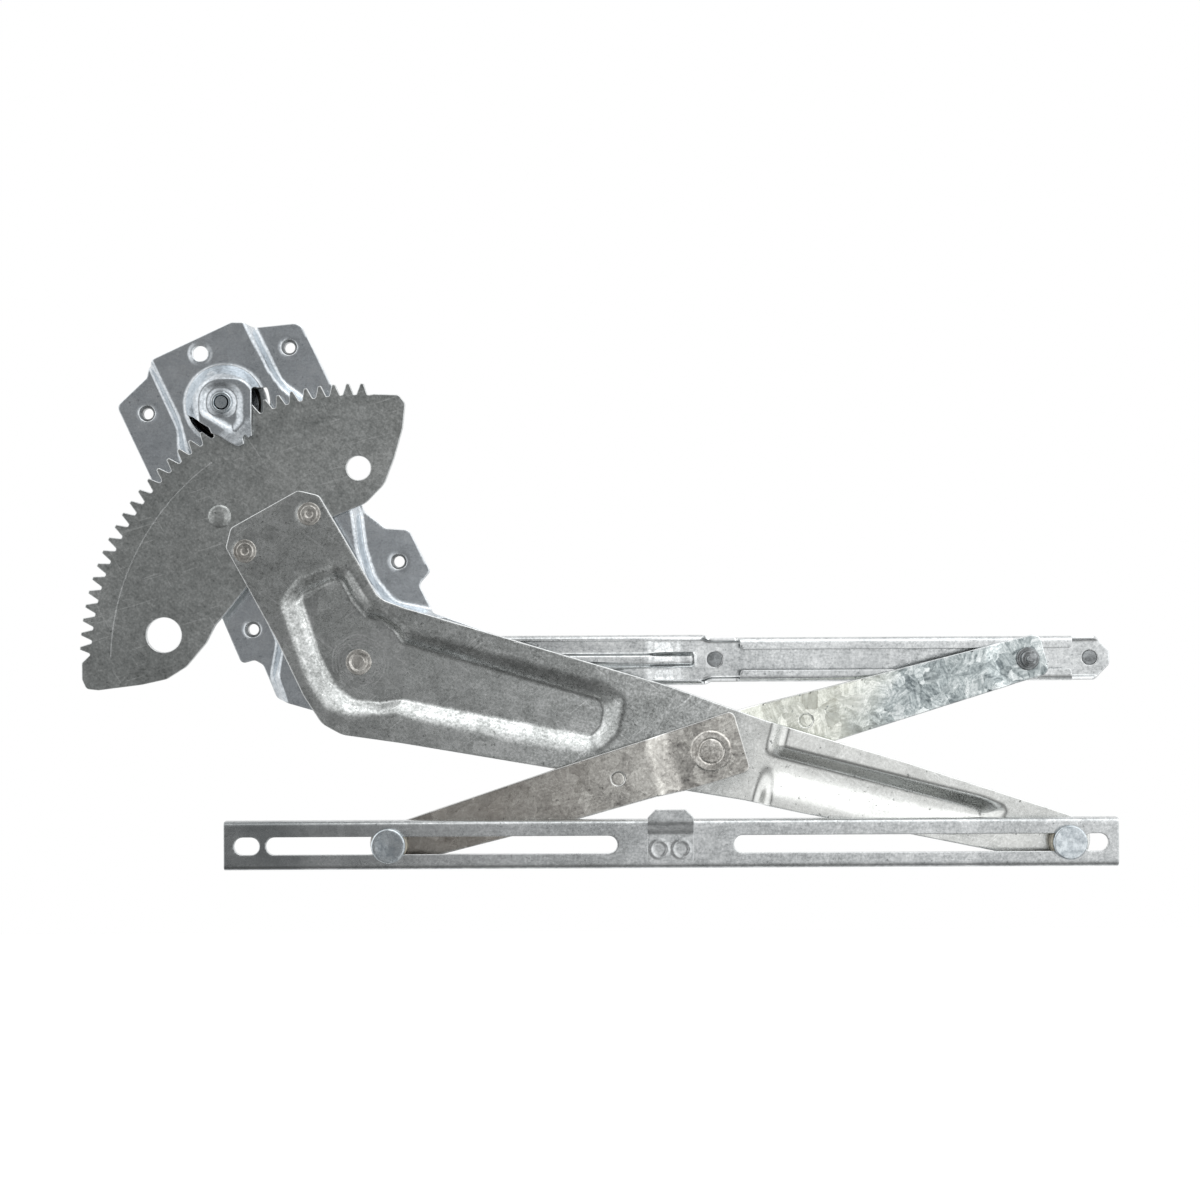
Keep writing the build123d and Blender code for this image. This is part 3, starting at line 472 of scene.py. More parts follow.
@dataclass
class Sheet:
    """Pressed sheet: a plan on a square grid, mapped to a curved surface with a gauge behind it.

    Attributes:
        outline: Closed edge of the plan.
        surface: Plan points to (x, y, depth) of the viewer's side.
        gauge: Thickness, laid off along the surface's normal, away from the viewer.
        holes: Closed outlines cut out of the plan.
        grid: Spacing of the grid.
        roll: Radius of the rounded edge, which gets the painted edge highlight.
    """

    outline: Array
    surface: Surface
    gauge: float
    holes: Sequence[Array] = ()
    grid: float = 0.8
    roll: float = 0.4

    def margin(self, points: Array) -> Array:
        """Distance in from the nearest edge or hole.

        Args:
            points: Points in the piece's frame, in mm.

        Returns:
            Margin at each point in mm.
        """
        low, high = self.outline.min(0) - 1, self.outline.max(0) + 1
        value = inside(points, self.outline)
        for hole in self.holes:
            reach = np.all((points > hole.min(0) - 4) & (points < hole.max(0) + 4), axis=1)
            value[reach] = np.minimum(value[reach], -inside(points[reach], hole))
        return np.where(np.all((points > low) & (points < high), axis=1), value, -1.0)

    def inward(self, points: Array) -> Array:
        """Direction in the plan in which the margin grows fastest, by central differences.

        Args:
            points: Points in the piece's frame, in mm.

        Returns:
            Unit direction at each point.
        """
        step = 0.05
        slopes = [self.margin(points + shift) - self.margin(points - shift) for shift in np.eye(2) * step]
        return unit(np.column_stack(slopes))

    def normals(self, plan: Array) -> Array:
        """Unit normals of the surface towards the viewer, from central differences along x and y.

        Args:
            plan: Points (x, y) in the piece's frame, in mm.

        Returns:
            Unit normal at each point.
        """
        step = 0.05
        along, across = (self.surface(plan + shift) - self.surface(plan - shift)
                         for shift in np.eye(2) * step)
        return unit(np.cross(along, across))

    def cells(self, margin: Array) -> Array:
        """Grid cells to keep: those whose corners lie inside on average, with no lone or diagonal cell.

        Args:
            margin: Margin at each grid point in mm.

        Returns:
            Corner numbers of the kept cells.
        """
        kept = (margin[:-1, :-1] + margin[1:, :-1] + margin[:-1, 1:] + margin[1:, 1:]) > 0
        for _ in range(3):
            rising = kept[:-1, :-1] & kept[1:, 1:] & ~kept[1:, :-1] & ~kept[:-1, 1:]
            falling = kept[1:, :-1] & kept[:-1, 1:] & ~kept[:-1, :-1] & ~kept[1:, 1:]
            kept[1:, :-1] |= rising
            kept[:-1, :-1] |= falling
            beside = np.zeros(kept.shape, int)
            beside[1:] += kept[:-1]
            beside[:-1] += kept[1:]
            beside[:, 1:] += kept[:, :-1]
            beside[:, :-1] += kept[:, 1:]
            kept &= beside > 1
        return kept

    def shape(self) -> Shape:
        """Closed mesh of the sheet.

        Grid vertices on the border slide along the margin's slope until they lie one roll inside the
        edge. The rim from there to the back follows a quarter circle, a straight and a quarter circle.

        Returns:
            The mesh.
        """
        low, high = self.outline.min(0) - 2 * self.grid, self.outline.max(0) + 2 * self.grid
        x, y = np.meshgrid(*(np.arange(low[k], high[k], self.grid) for k in (0, 1)), indexing="ij")
        margin = self.margin(np.column_stack([x.ravel(), y.ravel()])).reshape(x.shape)
        kept = self.cells(margin)
        row, column = np.nonzero(kept)
        number = np.arange(x.size).reshape(x.shape)
        quads = np.column_stack([number[row, column], number[row + 1, column],
                                 number[row + 1, column + 1], number[row, column + 1]])
        used, quads = np.unique(quads, return_inverse=True)
        quads = quads.reshape(-1, 4)
        plan = np.column_stack([x.ravel()[used], y.ravel()[used]])
        count = len(plan)
        edges = np.column_stack([quads.ravel(), np.roll(quads, -1, axis=1).ravel()])
        lone = ~np.isin(edges[:, 0] * count + edges[:, 1], edges[:, 1] * count + edges[:, 0])
        border_edges = edges[lone]
        border, border_edges = np.unique(border_edges, return_inverse=True)
        border_edges = border_edges.reshape(-1, 2)
        rim_plan = plan[border]
        for _ in range(4):
            rim_plan = rim_plan + self.inward(rim_plan) * (self.roll - self.margin(rim_plan))[:, None]
        plan[border] = rim_plan
        front = self.surface(plan)
        normal = self.normals(plan)
        back = front - normal * self.gauge
        outward = unit(self.surface(rim_plan - 0.05 * self.inward(rim_plan)) - front[border])
        rings = []
        for base, side in ((front[border], -1.0), (back[border], 1.0)):
            for turn in np.radians((30, 60, 90) if side < 0 else (90, 60, 30)):
                rings.append(base + outward * self.roll * math.sin(turn)
                             + normal[border] * side * self.roll * (1 - math.cos(turn)))
        points = np.vstack([front, back, *rings])
        levels = [border] + [2 * count + k * len(border) + np.arange(len(border)) for k in range(len(rings))]
        levels.append(border + count)
        strips = [np.column_stack([upper[border_edges[:, 1]], upper[border_edges[:, 0]],
                                   lower[border_edges[:, 0]], lower[border_edges[:, 1]]])
                  for upper, lower in zip(levels, levels[1:])]
        # Share of the painted edge highlight: full on the rolled rim, 0.3 where the faces meet it.
        edge = np.zeros(len(points))
        edge[2 * count:] = 1.0
        edge[border] = edge[border + count] = 0.3
        return Shape(points, np.vstack([quads, quads[:, ::-1] + count, *strips]), edge=edge)


def blanked(outline: Array, holes: Sequence[Array], back: float, front: float, roll: float) -> Shape:
    """Flat blanked plate with rounded edges that get the painted edge highlight.

    Each outline is carried through the depth along a quarter circle, a straight and a quarter circle,
    moved in along its own normals. Flat faces close both sides.

    Args:
        outline: Closed edge, counter-clockwise.
        holes: Closed holes, counter-clockwise.
        back: Depth of the panel side.
        front: Depth of the viewer's side.
        roll: Radius of the edge.

    Returns:
        Closed mesh.
    """
    turns = np.radians([0, 30, 60, 90])
    insets = roll * (1 - np.sin(turns))
    drops = roll * (1 - np.cos(turns))
    profile = list(zip(insets, front - drops)) + list(zip(insets[::-1], back + drops[::-1]))
    points, quads, loops, start = [], [], [], 0
    for line in [outline] + [hole[::-1] for hole in holes]:
        ahead = unit(np.roll(line, -1, axis=0) - line)
        behind = np.roll(ahead, 1, axis=0)
        bisector = unit(ahead + behind)
        normal = np.column_stack([-bisector[:, 1], bisector[:, 0]])
        mitre = 1 / np.maximum(np.einsum("ij,ij->i", bisector, ahead), 0.6)
        count = len(line)
        for inset, depth in profile:
            moved = line + normal * (mitre * inset)[:, None]
            points.append(np.column_stack([moved, np.full(count, depth)]))
        here = np.arange(count)
        there = (here + 1) % count
        for level in range(len(profile) - 1):
            upper, lower = start + level * count, start + (level + 1) * count
            quads.append(np.column_stack([upper + there, upper + here, lower + here, lower + there]))
        loops.append((start, count))
        start += count * len(profile)
    points = np.vstack(points)
    triangles = []
    for level, facing in ((0, 1.0), (len(profile) - 1, -1.0)):
        index = np.concatenate([first + level * count + np.arange(count) for first, count in loops])
        faces = tessellate_polygon([[Vector(p)
                                     for p in points[first + level * count: first + (level + 1) * count]]
                                    for first, count in loops])
        faces = index[np.array(faces)]
        a, b, c = (points[faces[:, k], :2] for k in range(3))
        area = (b - a)[:, 0] * (c - a)[:, 1] - (b - a)[:, 1] * (c - a)[:, 0]
        faces = faces[np.abs(area) > 1e-9]
        area = area[np.abs(area) > 1e-9]
        triangles.append(np.where((area * facing > 0)[:, None], faces, faces[:, ::-1]))
    # Painted edge highlight: full on the rim's points, none on the flat faces.
    bare = np.isin(np.arange(len(points)), np.vstack(triangles))
    return Shape(points, np.vstack(quads), np.vstack(triangles), np.where(bare, 0.0, 1.0))


def turned(profile: Corners, radii: Sequence[float] | float, segments: int = 72,
           x: float = 0.0, y: float = 0.0) -> Shape:
    """Turned piece: a profile of (radius, depth) carried round an axis along the depth.

    Args:
        profile: Corners from the viewer's side to the panel side. It starts and ends on the axis, or is
            a closed ring when it starts off the axis.
        radii: Rounding of the corners.
        segments: Number of steps round the axis.
        x: Place of the axis along the local frame.
        y: Place of the axis across the local frame.

    Returns:
        Closed mesh.
    """
    ring = profile[0][0] > 0
    line = divided(rounded(profile, radii, 0.12, closed=ring), 0.5, closed=ring)
    turns = np.arange(segments) * 2 * math.pi / segments
    inner = line if ring else line[1:-1]
    around = np.stack([x + inner[:, :1] * np.cos(turns), y + inner[:, :1] * np.sin(turns),
                       np.repeat(inner[:, 1:], segments, axis=1)], axis=2).reshape(-1, 3)
    number = np.arange(len(inner) * segments).reshape(len(inner), segments)
    upper = number if ring else number[:-1]
    lower = np.roll(number, -1, axis=0) if ring else number[1:]
    quads = np.stack([upper, lower, np.roll(lower, -1, axis=1), np.roll(upper, -1, axis=1)], axis=2)
    quads = quads.reshape(-1, 4)
    if ring:
        return Shape(around, quads)
    poles = np.array([[x, y, line[0, 1]], [x, y, line[-1, 1]]])
    first, last = len(around), len(around) + 1
    top = np.column_stack([np.full(segments, first), number[0], np.roll(number[0], -1)])
    bottom = np.column_stack([np.full(segments, last), np.roll(number[-1], -1), number[-1]])
    return Shape(np.vstack([around, poles]), quads, np.vstack([top, bottom]))


def linear(code: str) -> tuple[float, float, float, float]:
    """Colour written as an sRGB hex code, in linear light.

    Args:
        code: The colour, as # and six hex digits.

    Returns:
        Red, green, blue and alpha.
    """
    values = [int(code[i:i + 2], 16) / 255 for i in (1, 3, 5)]
    red, green, blue = (v / 12.92 if v <= 0.04045 else ((v + 0.055) / 1.055) ** 2.4 for v in values)
    return red, green, blue, 1.0


def add_node(tree: Tree, kind: str, settings: dict[str, object]) -> bpy.types.Node:
    """Adds a node with its settings and links.

    Args:
        tree: Node tree that gets it.
        kind: Type of the node, without the ShaderNode before it.
        settings: Values or sources of inputs, by name or number, and values of the node's own
            properties. A source is a socket, or a node that stands for its first output.

    Returns:
        The new node.
    """
    node = tree.nodes.new("ShaderNode" + kind)
    for name, value in settings.items():
        if not name.isdigit() and name not in node.inputs:
            setattr(node, name, value)
            continue
        taker = node.inputs[int(name) if name.isdigit() else name]
        source = value.outputs[0] if isinstance(value, bpy.types.Node) else value
        if isinstance(source, Socket):
            tree.links.new(source, taker)
        else:
            taker.default_value = source
    return node


def ramp_node(tree: Tree, value: Source, stops: Sequence[tuple[float, str]]) -> Socket:
    """Colour ramp over hex stops, and its colour output.

    Args:
        tree: Node tree to add to.
        value: The value to start from.
        stops: Places from 0 to 1 with their hex colours.

    Returns:
        The ramp's colour output.
    """
    node = add_node(tree, "ValToRGB", {"Fac": value})
    band = node.color_ramp
    band.elements[0].position, band.elements[1].position = stops[0][0], stops[-1][0]
    band.elements[0].color, band.elements[1].color = linear(stops[0][1]), linear(stops[-1][1])
    for position, code in stops[1:-1]:
        band.elements.new(position).color = linear(code)
    return node.outputs["Color"]


def surface_tree(name: str) -> tuple[bpy.types.Material, Tree, Socket]:
    """New material with an empty tree, and its object coordinates in millimetres.

    Args:
        name: The material's name.

    Returns:
        The material, its tree and the coordinates.
    """
    material = bpy.data.materials.new(name)
    material.use_nodes = True
    tree = material.node_tree
    tree.nodes.clear()
    place = add_node(tree, "TexCoord", {}).outputs["Object"]
    coords = add_node(tree, "VectorMath", {"operation": "SCALE", "Scale": 1 / MM, "0": place})
    return material, tree, coords.outputs["Vector"]


def noise(tree: Tree, coords: Source, width: float, detail: float = 4.0, rough: float = 0.6) -> Socket:
    """Noise whose largest spots are about a width across."""
    return add_node(tree, "TexNoise", {"Scale": 0.6 / width, "Detail": detail, "Roughness": rough,
                                       "Vector": coords}).outputs["Fac"]


def stretched(tree: Tree, coords: Source, turn: float, length: float) -> bpy.types.Node:
    """Coordinates drawn out by a length along a direction in degrees from X, for lines in noise."""
    return add_node(tree, "Mapping", {"vector_type": "TEXTURE", "Rotation": (0, math.radians(turn), 0),
                                      "Scale": (length, 1.0, 1.0), "Vector": coords})


def weigh(tree: Tree, value: Source, weight: float, base: Source | float) -> Socket:
    """Base plus the value's distance from a half, times a weight.

    Args:
        tree: Node tree to add to.
        value: The value to start from.
        weight: Weight of the distance.
        base: What the distance is added to.

    Returns:
        Output with the sum.
    """
    if isinstance(base, float):
        return add_node(tree, "Math", {"operation": "MULTIPLY_ADD", "0": value, "1": weight,
                                       "2": base - weight / 2}).outputs["Value"]
    centred = add_node(tree, "Math", {"operation": "SUBTRACT", "0": value, "1": 0.5})
    return add_node(tree, "Math", {"operation": "MULTIPLY_ADD", "0": centred, "1": weight,
                                   "2": base}).outputs["Value"]


def added(tree: Tree, value: Source, weight: float, base: Source) -> Socket:
    """Base plus the value times a weight."""
    return add_node(tree, "Math", {"operation": "MULTIPLY_ADD", "0": value, "1": weight,
                                   "2": base}).outputs["Value"]


def spread(tree: Tree, value: Source, low: float, high: float, start: float = 0.0,
           end: float = 1.0) -> Socket:
    """Value carried from one range to another, and held at its ends."""
    return add_node(tree, "MapRange", {"Value": value, "From Min": low, "From Max": high, "To Min": start,
                                       "To Max": end}).outputs["Result"]


def mixed(tree: Tree, share: Source, colour: Source, code: str) -> Socket:
    """Colour carried towards a hex colour by a share."""
    return add_node(tree, "Mix", {"data_type": "RGBA", "Factor": share, "6": colour,
                                  "7": linear(code)}).outputs[2]


def coated(tree: Tree, inputs: dict[str, object], height: Socket, strength: float, reach: float) -> None:
    """Principled shader with its inputs, its relief and the output.

    Args:
        tree: Node tree that gets them.
        inputs: Inputs of the shader.
        height: Pattern of the relief.
        strength: Share of the relief that shows.
        reach: Height of the relief in mm.
    """
    bump = add_node(tree, "Bump", {"Strength": strength, "Distance": reach * MM, "Height": height})
    shader = add_node(tree, "BsdfPrincipled", {**inputs, "Normal": bump})
    add_node(tree, "OutputMaterial", {"Surface": shader})


# Widths in mm of what every zinc coat shows. Its real grain, about 0.1 mm wide, is too fine to show in a
# picture half a metre wide, so grain, flecks and scratches are drawn as coarse as they need to show.
GRAIN = 0.7
FLECK = 1.8
SPECK = 1.3
WAVE = 3.5
FEATHER = 1.1
ROLLING = 0.8
# Length of a line to its width: rolling marks, scratches, and the needles of a crystal.
ROLLING_LENGTH = 7.0
SCRATCH_LENGTH = 18.0
NEEDLE_LENGTH = 5.0
# Colour of the painted highlight along the rounded edges of every sheet and blank, where they catch the
# light.
PAINTED_EDGE_HIGHLIGHT = "#eceeef"


@dataclass(frozen=True)
class ZincSheet:
    """Hot-dip galvanised steel sheet: soft clouds, weak spangles, fine grain, scratches and dark specks.

    Attributes:
        name: Material's name.
        dark: Colour of the dullest spots.
        middle: Colour of most of the sheet.
        light: Colour of the brightest spots, close to the painted highlight on the edges.
        spangle: Width of a spangle in mm.
        crystals: How strongly spangles differ.
        cloud: Width of cloudy patches in mm.
        rough: Roughness of most of the sheet.
        grain_turn: Direction of the rolling marks in degrees from X.
        tint: Colour of faint stains; on the arm and the lower rail, also of painted light and shade along X.
        tint_share: How far the tint reaches, 0 to 1.
        tint_x: X in mm where the tint starts to fill in by place, and where it is full.
        scratch: Strength of the scratches.
        swirl: X and Z in mm of a rivet with turning marks round it.
        grain: Strength of the finest grain.
        ripple: Height of the uneven coating in mm.
    """

    name: str
    dark: str
    middle: str
    light: str
    spangle: float = 5.0
    crystals: float = 0.2
    cloud: float = 24.0
    rough: float = 0.3
    grain_turn: float = 0.0
    tint: str = "#8b8276"
    tint_share: float = 0.25
    tint_x: Optional[tuple[float, float]] = None
    scratch: float = 0.12
    swirl: Optional[tuple[float, float]] = None
    grain: float = 1.0
    ripple: float = 0.02

    def scratches(self, tree: Tree, coords: Source, turn: float, width: float) -> Socket:
        """Sparse thin lines: noise stretched along one direction, and only its peaks."""
        lines = stretched(tree, coords, turn, SCRATCH_LENGTH)
        return spread(tree, noise(tree, lines, width, 2.0), 0.66, 0.71)

    def swirls(self, tree: Tree, coords: Source, spot: tuple[float, float]) -> Socket:
        """Broken rings about 1.6 mm apart, out to 14 mm round a rivet.

        Args:
            tree: Node tree to add to.
            coords: Object coordinates in millimetres.
            spot: Centre of the rings in mm.

        Returns:
            Strength of the rings from 0 to 1.
        """
        about = add_node(tree, "VectorMath",
                         {"operation": "SUBTRACT", "0": coords, "1": (spot[0], 0, spot[1])})
        flat = add_node(tree, "VectorMath", {"operation": "MULTIPLY", "0": about, "1": (1, 0, 1)})
        reach = add_node(tree, "VectorMath", {"operation": "LENGTH", "0": flat}).outputs["Value"]
        rings = add_node(tree, "TexWave", {"wave_type": "RINGS", "rings_direction": "Y", "Scale": 0.196,
                                           "Distortion": 5.0, "Detail": 2.0, "Detail Scale": 0.6,
                                           "Vector": flat})
        broken = spread(tree, noise(tree, coords, 4.0, 3.0), 0.43, 0.53)
        share = add_node(tree, "Math",
                         {"operation": "MULTIPLY", "0": spread(tree, reach, 14.0, 9.0), "1": broken})
        lines = spread(tree, rings.outputs["Fac"], 0.5, 0.9)
        return add_node(tree, "Math", {"operation": "MULTIPLY", "0": share, "1": lines}).outputs["Value"]

    def spangles(self, tree: Tree, coords: Source) -> tuple[bpy.types.Node, Socket]:
        """Crystals with wavy borders, and needles along each one's own direction.

        The cells come from coordinates pushed about by noise. A cell's blue turns its needles.

        Args:
            tree: Node tree that gets them.
            coords: Coordinates in mm.

        Returns:
            Node with three random numbers of each cell, and the needles' pattern.
        """
        push = add_node(tree, "TexNoise", {"Scale": 0.8 / self.spangle, "Detail": 3.0, "Vector": coords})
        push = add_node(tree, "VectorMath",
                        {"operation": "SCALE", "Scale": self.spangle, "0": push.outputs["Color"]})
        bent = add_node(tree, "VectorMath", {"operation": "ADD", "0": coords, "1": push})
        cells = add_node(tree, "TexVoronoi", {"Scale": 1 / self.spangle, "Vector": bent})
        crystal = add_node(tree, "SeparateColor", {"Color": cells.outputs["Color"]})
        turn = add_node(tree, "Math",
                        {"operation": "MULTIPLY", "0": crystal.outputs["Blue"], "1": 2 * math.pi})
        turned_place = add_node(tree, "VectorRotate",
                                {"rotation_type": "Y_AXIS", "Vector": coords, "Angle": turn})
        needles = noise(tree, stretched(tree, turned_place, 0.0, NEEDLE_LENGTH), FEATHER, 3.0, 0.7)
        return crystal, needles

    def with_stains_and_painted_light(self, tree: Tree, coords: Source, colour: Source) -> Socket:
        """Colour with stains where wide noise peaks, and more tint towards one end, which on the arm is a
        painted highlight and on the lower rail painted shade.

        Args:
            tree: Node tree to add to.
            coords: Object coordinates in millimetres.
            colour: Colour of the clean sheet.

        Returns:
            The tinted colour.
        """
        patches = noise(tree, coords, self.cloud * 1.6, 3.0)
        # Tint by place along X: stain on the balance arm's halves, a painted highlight at the arm's right
        # end, painted shade at the lower rail's left end.
        if self.tint_x:
            along = add_node(tree, "SeparateXYZ", {"Vector": coords}).outputs["X"]
            patches = weigh(tree, patches, 0.6, spread(tree, along, *self.tint_x, 0.44, 0.74))
        return mixed(tree, spread(tree, patches, 0.52, 0.72, 0.0, self.tint_share), colour, self.tint)

    def material(self) -> bpy.types.Material:
        """Builds the procedural material: one tone adds up all patterns and drives colour and roughness.

        Returns:
            The material.
        """
        material, tree, coords = surface_tree(self.name)
        crystal, needles = self.spangles(tree, coords)
        fine = noise(tree, coords, GRAIN, 4.0, 0.75)
        rolling = noise(tree, stretched(tree, coords, self.grain_turn, ROLLING_LENGTH), ROLLING, 4.0, 0.7)
        along = self.scratches(tree, coords, self.grain_turn + 23.0, 0.9)
        across = self.scratches(tree, coords, self.grain_turn - 52.0, 0.8)
        tone = 0.5
        for pattern, weight in ((noise(tree, coords, self.cloud, 5.0), 0.7),
                                (noise(tree, coords, self.cloud / 5, 4.0), 0.35),
                                (crystal.outputs["Red"], self.crystals * 0.6), (needles, self.crystals * 2.0),
                                (fine, self.grain), (noise(tree, coords, FLECK, 3.0, 0.7), 0.4),
                                (rolling, 0.45)):
            tone = weigh(tree, pattern, weight, tone)
        if self.swirl:
            tone = added(tree, self.swirls(tree, coords, self.swirl), 1.5, tone)
        for lines in (along, across):
            tone = added(tree, lines, self.scratch, tone)
        colour = ramp_node(tree, tone, [(0.05, self.dark), (0.5, self.middle), (0.95, self.light)])
        colour = self.with_stains_and_painted_light(tree, coords, colour)
        speck = spread(tree, noise(tree, coords, SPECK, 3.0, 0.7), 0.65, 0.70, 0.0, 0.8)
        colour = mixed(tree, speck, colour, self.dark)
        # Painted highlight on the rounded edges: the edge attribute whitens the colour here.
        edge = add_node(tree, "Attribute", {"attribute_name": "edge"}).outputs["Fac"]
        edge_highlight = add_node(tree, "Math", {"operation": "MULTIPLY", "0": edge, "1": 0.6})
        colour = mixed(tree, edge_highlight, colour, PAINTED_EDGE_HIGHLIGHT)
        rough = weigh(tree, tone, -0.16, self.rough)
        rough = weigh(tree, crystal.outputs["Green"], self.crystals * 0.3, rough)
        height = 0.5
        for pattern, weight in ((fine, 0.25), (noise(tree, coords, WAVE, 2.0), 1.0), (across, 0.1),
                                (along, -0.1)):
            height = weigh(tree, pattern, weight, height)
        coated(tree, {"Metallic": 1.0, "Base Color": colour, "Roughness": rough}, height, 1.0, self.ripple)
        return material


@dataclass(frozen=True)
class TurnedMetal:
    """Cold-formed or machined steel with light pitting."""

    name: str
    dark: str
    light: str
    rough: float = 0.32
    grit: float = 1.6

    def material(self) -> bpy.types.Material:
        """Builds the procedural material: pits darken and dull the steel.

        Returns:
            The material.
        """
        material, tree, coords = surface_tree(self.name)
        pits = noise(tree, coords, self.grit, 5.0, 0.7)
        colour = ramp_node(tree, pits, [(0.32, self.dark), (0.62, self.light)])
        rough = weigh(tree, pits, -0.3, self.rough)
        coated(tree, {"Metallic": 1.0, "Base Color": colour, "Roughness": rough}, pits, 0.6, 0.08)
        return material


@dataclass(frozen=True)
class MouldedPlastic:
    """Injection-moulded plastic: an even colour, soft sheen and a faint mould texture."""

    name: str
    dark: str
    light: str
    rough: float = 0.42
    ior: float = 1.53

    def material(self) -> bpy.types.Material:
        """Builds the procedural material: clouds 2 mm wide in colour and relief.

        Returns:
            The material.
        """
        material, tree, coords = surface_tree(self.name)
        cloud = noise(tree, coords, 2.0)
        colour = ramp_node(tree, cloud, [(0.35, self.dark), (0.65, self.light)])
        coated(tree, {"Roughness": self.rough, "IOR": self.ior, "Base Color": colour}, cloud, 0.4, 0.05)
        return material


class Finish(Enum):
    """Finishes of the regulator's pieces."""

    # Galvanised and rolled: dull grey with rolling marks and scratches, and a painted highlight: a near-white
    # tint towards the arm's end.
    ARM = ZincSheet("galvanised_arm_sheet", "#6a6c6b", "#b0b3b2", "#e9ebeb", spangle=7.0, rough=0.25,
                    grain_turn=LINK.lift_rest, tint="#f3f4f1", tint_share=0.6, tint_x=(150.0, 235.0),
                    scratch=0.22, grain=1.4, swirl=(LINK.pivot_x, LINK.pivot_z))
    # Galvanised and fine-blanked: darker and duller than the arm, with small crystals and more scratches.
    SECTOR = ZincSheet("galvanised_sector_blank", "#616463", "#9a9d9c", "#d4d7d6", spangle=3.0, crystals=0.12,
                       rough=0.33, grain_turn=35.0, tint_share=0.06, scratch=0.25, grain=1.3)
    # Galvanised and pressed: clean bluish zinc that mirrors the lights along its walls.
    PLATE = ZincSheet("galvanised_plate_sheet", "#8d9398", "#ccd2d7", "#f4f8fb", spangle=4.0, crystals=0.1,
                      rough=0.22, tint_share=0.0)
    # Galvanised with large crystals: feathery blue-grey spangles, yellowish towards the centre pin.
    REAR_ARM = ZincSheet("galvanised_balance_sheet", "#737c7f", "#b6bfc0", "#f2f7f7", spangle=6.5,
                         crystals=0.8, cloud=18.0, rough=0.24, grain_turn=-LINK.balance_rest,
                         tint="#fbf8e4", tint_share=0.42, tint_x=(288.0, 254.0))
    # Galvanised and handled: warm grey, browner towards the lower rail.
    FRONT_ARM = ZincSheet("galvanised_front_half", "#646260", "#b5b3ae", "#e9e8e2", spangle=7.0, crystals=0.4,
                          rough=0.25, grain_turn=-LINK.balance_rest, tint="#74695f", tint_share=0.4,
                          tint_x=(175.0, 95.0))
    # Galvanised and roll-formed: even light grey, with painted shade: a grey tint darkens the left end.
    RAIL = ZincSheet("galvanised_rail_sheet", "#7d8081", "#bfc2c3", "#eff1f2", spangle=3.5, crystals=0.12,
                     rough=0.24, tint="#6f7476", tint_share=0.6, tint_x=(75.0, 5.0))
    # Galvanised and roll-formed: the brightest sheet, with a few dull patches.
    UPPER_RAIL = ZincSheet("galvanised_upper_rail_sheet", "#7f8384", "#cdd0d1", "#f8fafa", spangle=3.5,
                           crystals=0.12, rough=0.18, tint="#74787a", tint_share=0.3)
    # Turned and zinc-plated: bluish and bright, like new screws.
    PLATED = TurnedMetal("zinc_plated_steel", "#98a1a7", "#dce3e7", 0.20)
    # Hammered over: warm grey and uneven.
    RIVET = TurnedMetal("upset_rivet_steel", "#716c67", "#bcbbb8", 0.30)
    # Plated and then upset: the coat is broken into small light and dark patches.
    UPSET = ZincSheet("upset_zinc_plated_steel", "#605d5a", "#b9b7b2", "#f0eee9", spangle=3.0, crystals=0.2,
                      cloud=6.0, rough=0.27, grain=1.4)
    # Machined and oiled: plain mid grey.
    BARE = TurnedMetal("machined_steel", "#5c5e5f", "#a2a6a8", 0.30)
    # Hardened and tempered: nearly black, with little gloss.
    SPRING = TurnedMetal("tempered_spring_steel", "#24221f", "#45413c", 0.42)
    # Moulded acetal: even black with a soft sheen.
    BUSH = MouldedPlastic("moulded_black_acetal", "#1c1c1b", "#2a2a29", 0.45)
    # Moulded nylon without dye: creamy white, slightly cloudy.
    NYLON = MouldedPlastic("moulded_natural_nylon", "#b9b2a0", "#d8d3c4", 0.38)


@dataclass(frozen=True)
class Piece:
    """One visible piece: its mesh, its body, the node it stands for, and its finish."""

    name: str
    shape: Shape
    place: Place
    body: Body
    node: str
    finish: Finish
    slot: str = ""

    def add(self, materials: dict[Finish, bpy.types.Material]) -> bpy.types.Object:
        """Puts the piece in the scene.

        Args:
            materials: Material of each finish.

        Returns:
            The new object.
        """
        placed = self.shape.placed(self.place)
        mesh = bpy.data.meshes.new(self.name)
        corners = np.concatenate([placed.quads.ravel(), placed.triangles.ravel()]).astype(np.int32)
        sizes = np.concatenate([np.full(len(placed.quads), 4), np.full(len(placed.triangles), 3)])
        starts = (np.cumsum(sizes) - sizes).astype(np.int32)
        mesh.vertices.add(len(placed.points))
        mesh.vertices.foreach_set("co", placed.points.astype(np.float32).ravel())
        mesh.loops.add(len(corners))
        mesh.loops.foreach_set("vertex_index", corners)
        mesh.polygons.add(len(sizes))
        mesh.polygons.foreach_set("loop_start", starts)
        mesh.polygons.foreach_set("use_smooth", sizes == 4)
        mesh.update(calc_edges=True)
        # The edge attribute carries the share of the painted edge highlight to the material.
        edge = mesh.attributes.new("edge", "FLOAT", "POINT")
        edge.data.foreach_set("value", placed.edge_highlight.astype(np.float32))
        mesh.materials.append(materials[self.finish])
        piece = bpy.data.objects.new(self.name, mesh)
        bpy.context.scene.collection.objects.link(piece)
        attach(piece, self.body.value)
        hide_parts(self.node)
        log.info("%s: %d points, %d faces, on %s", self.name, len(placed.points), len(sizes), self.body.value)
        return piece


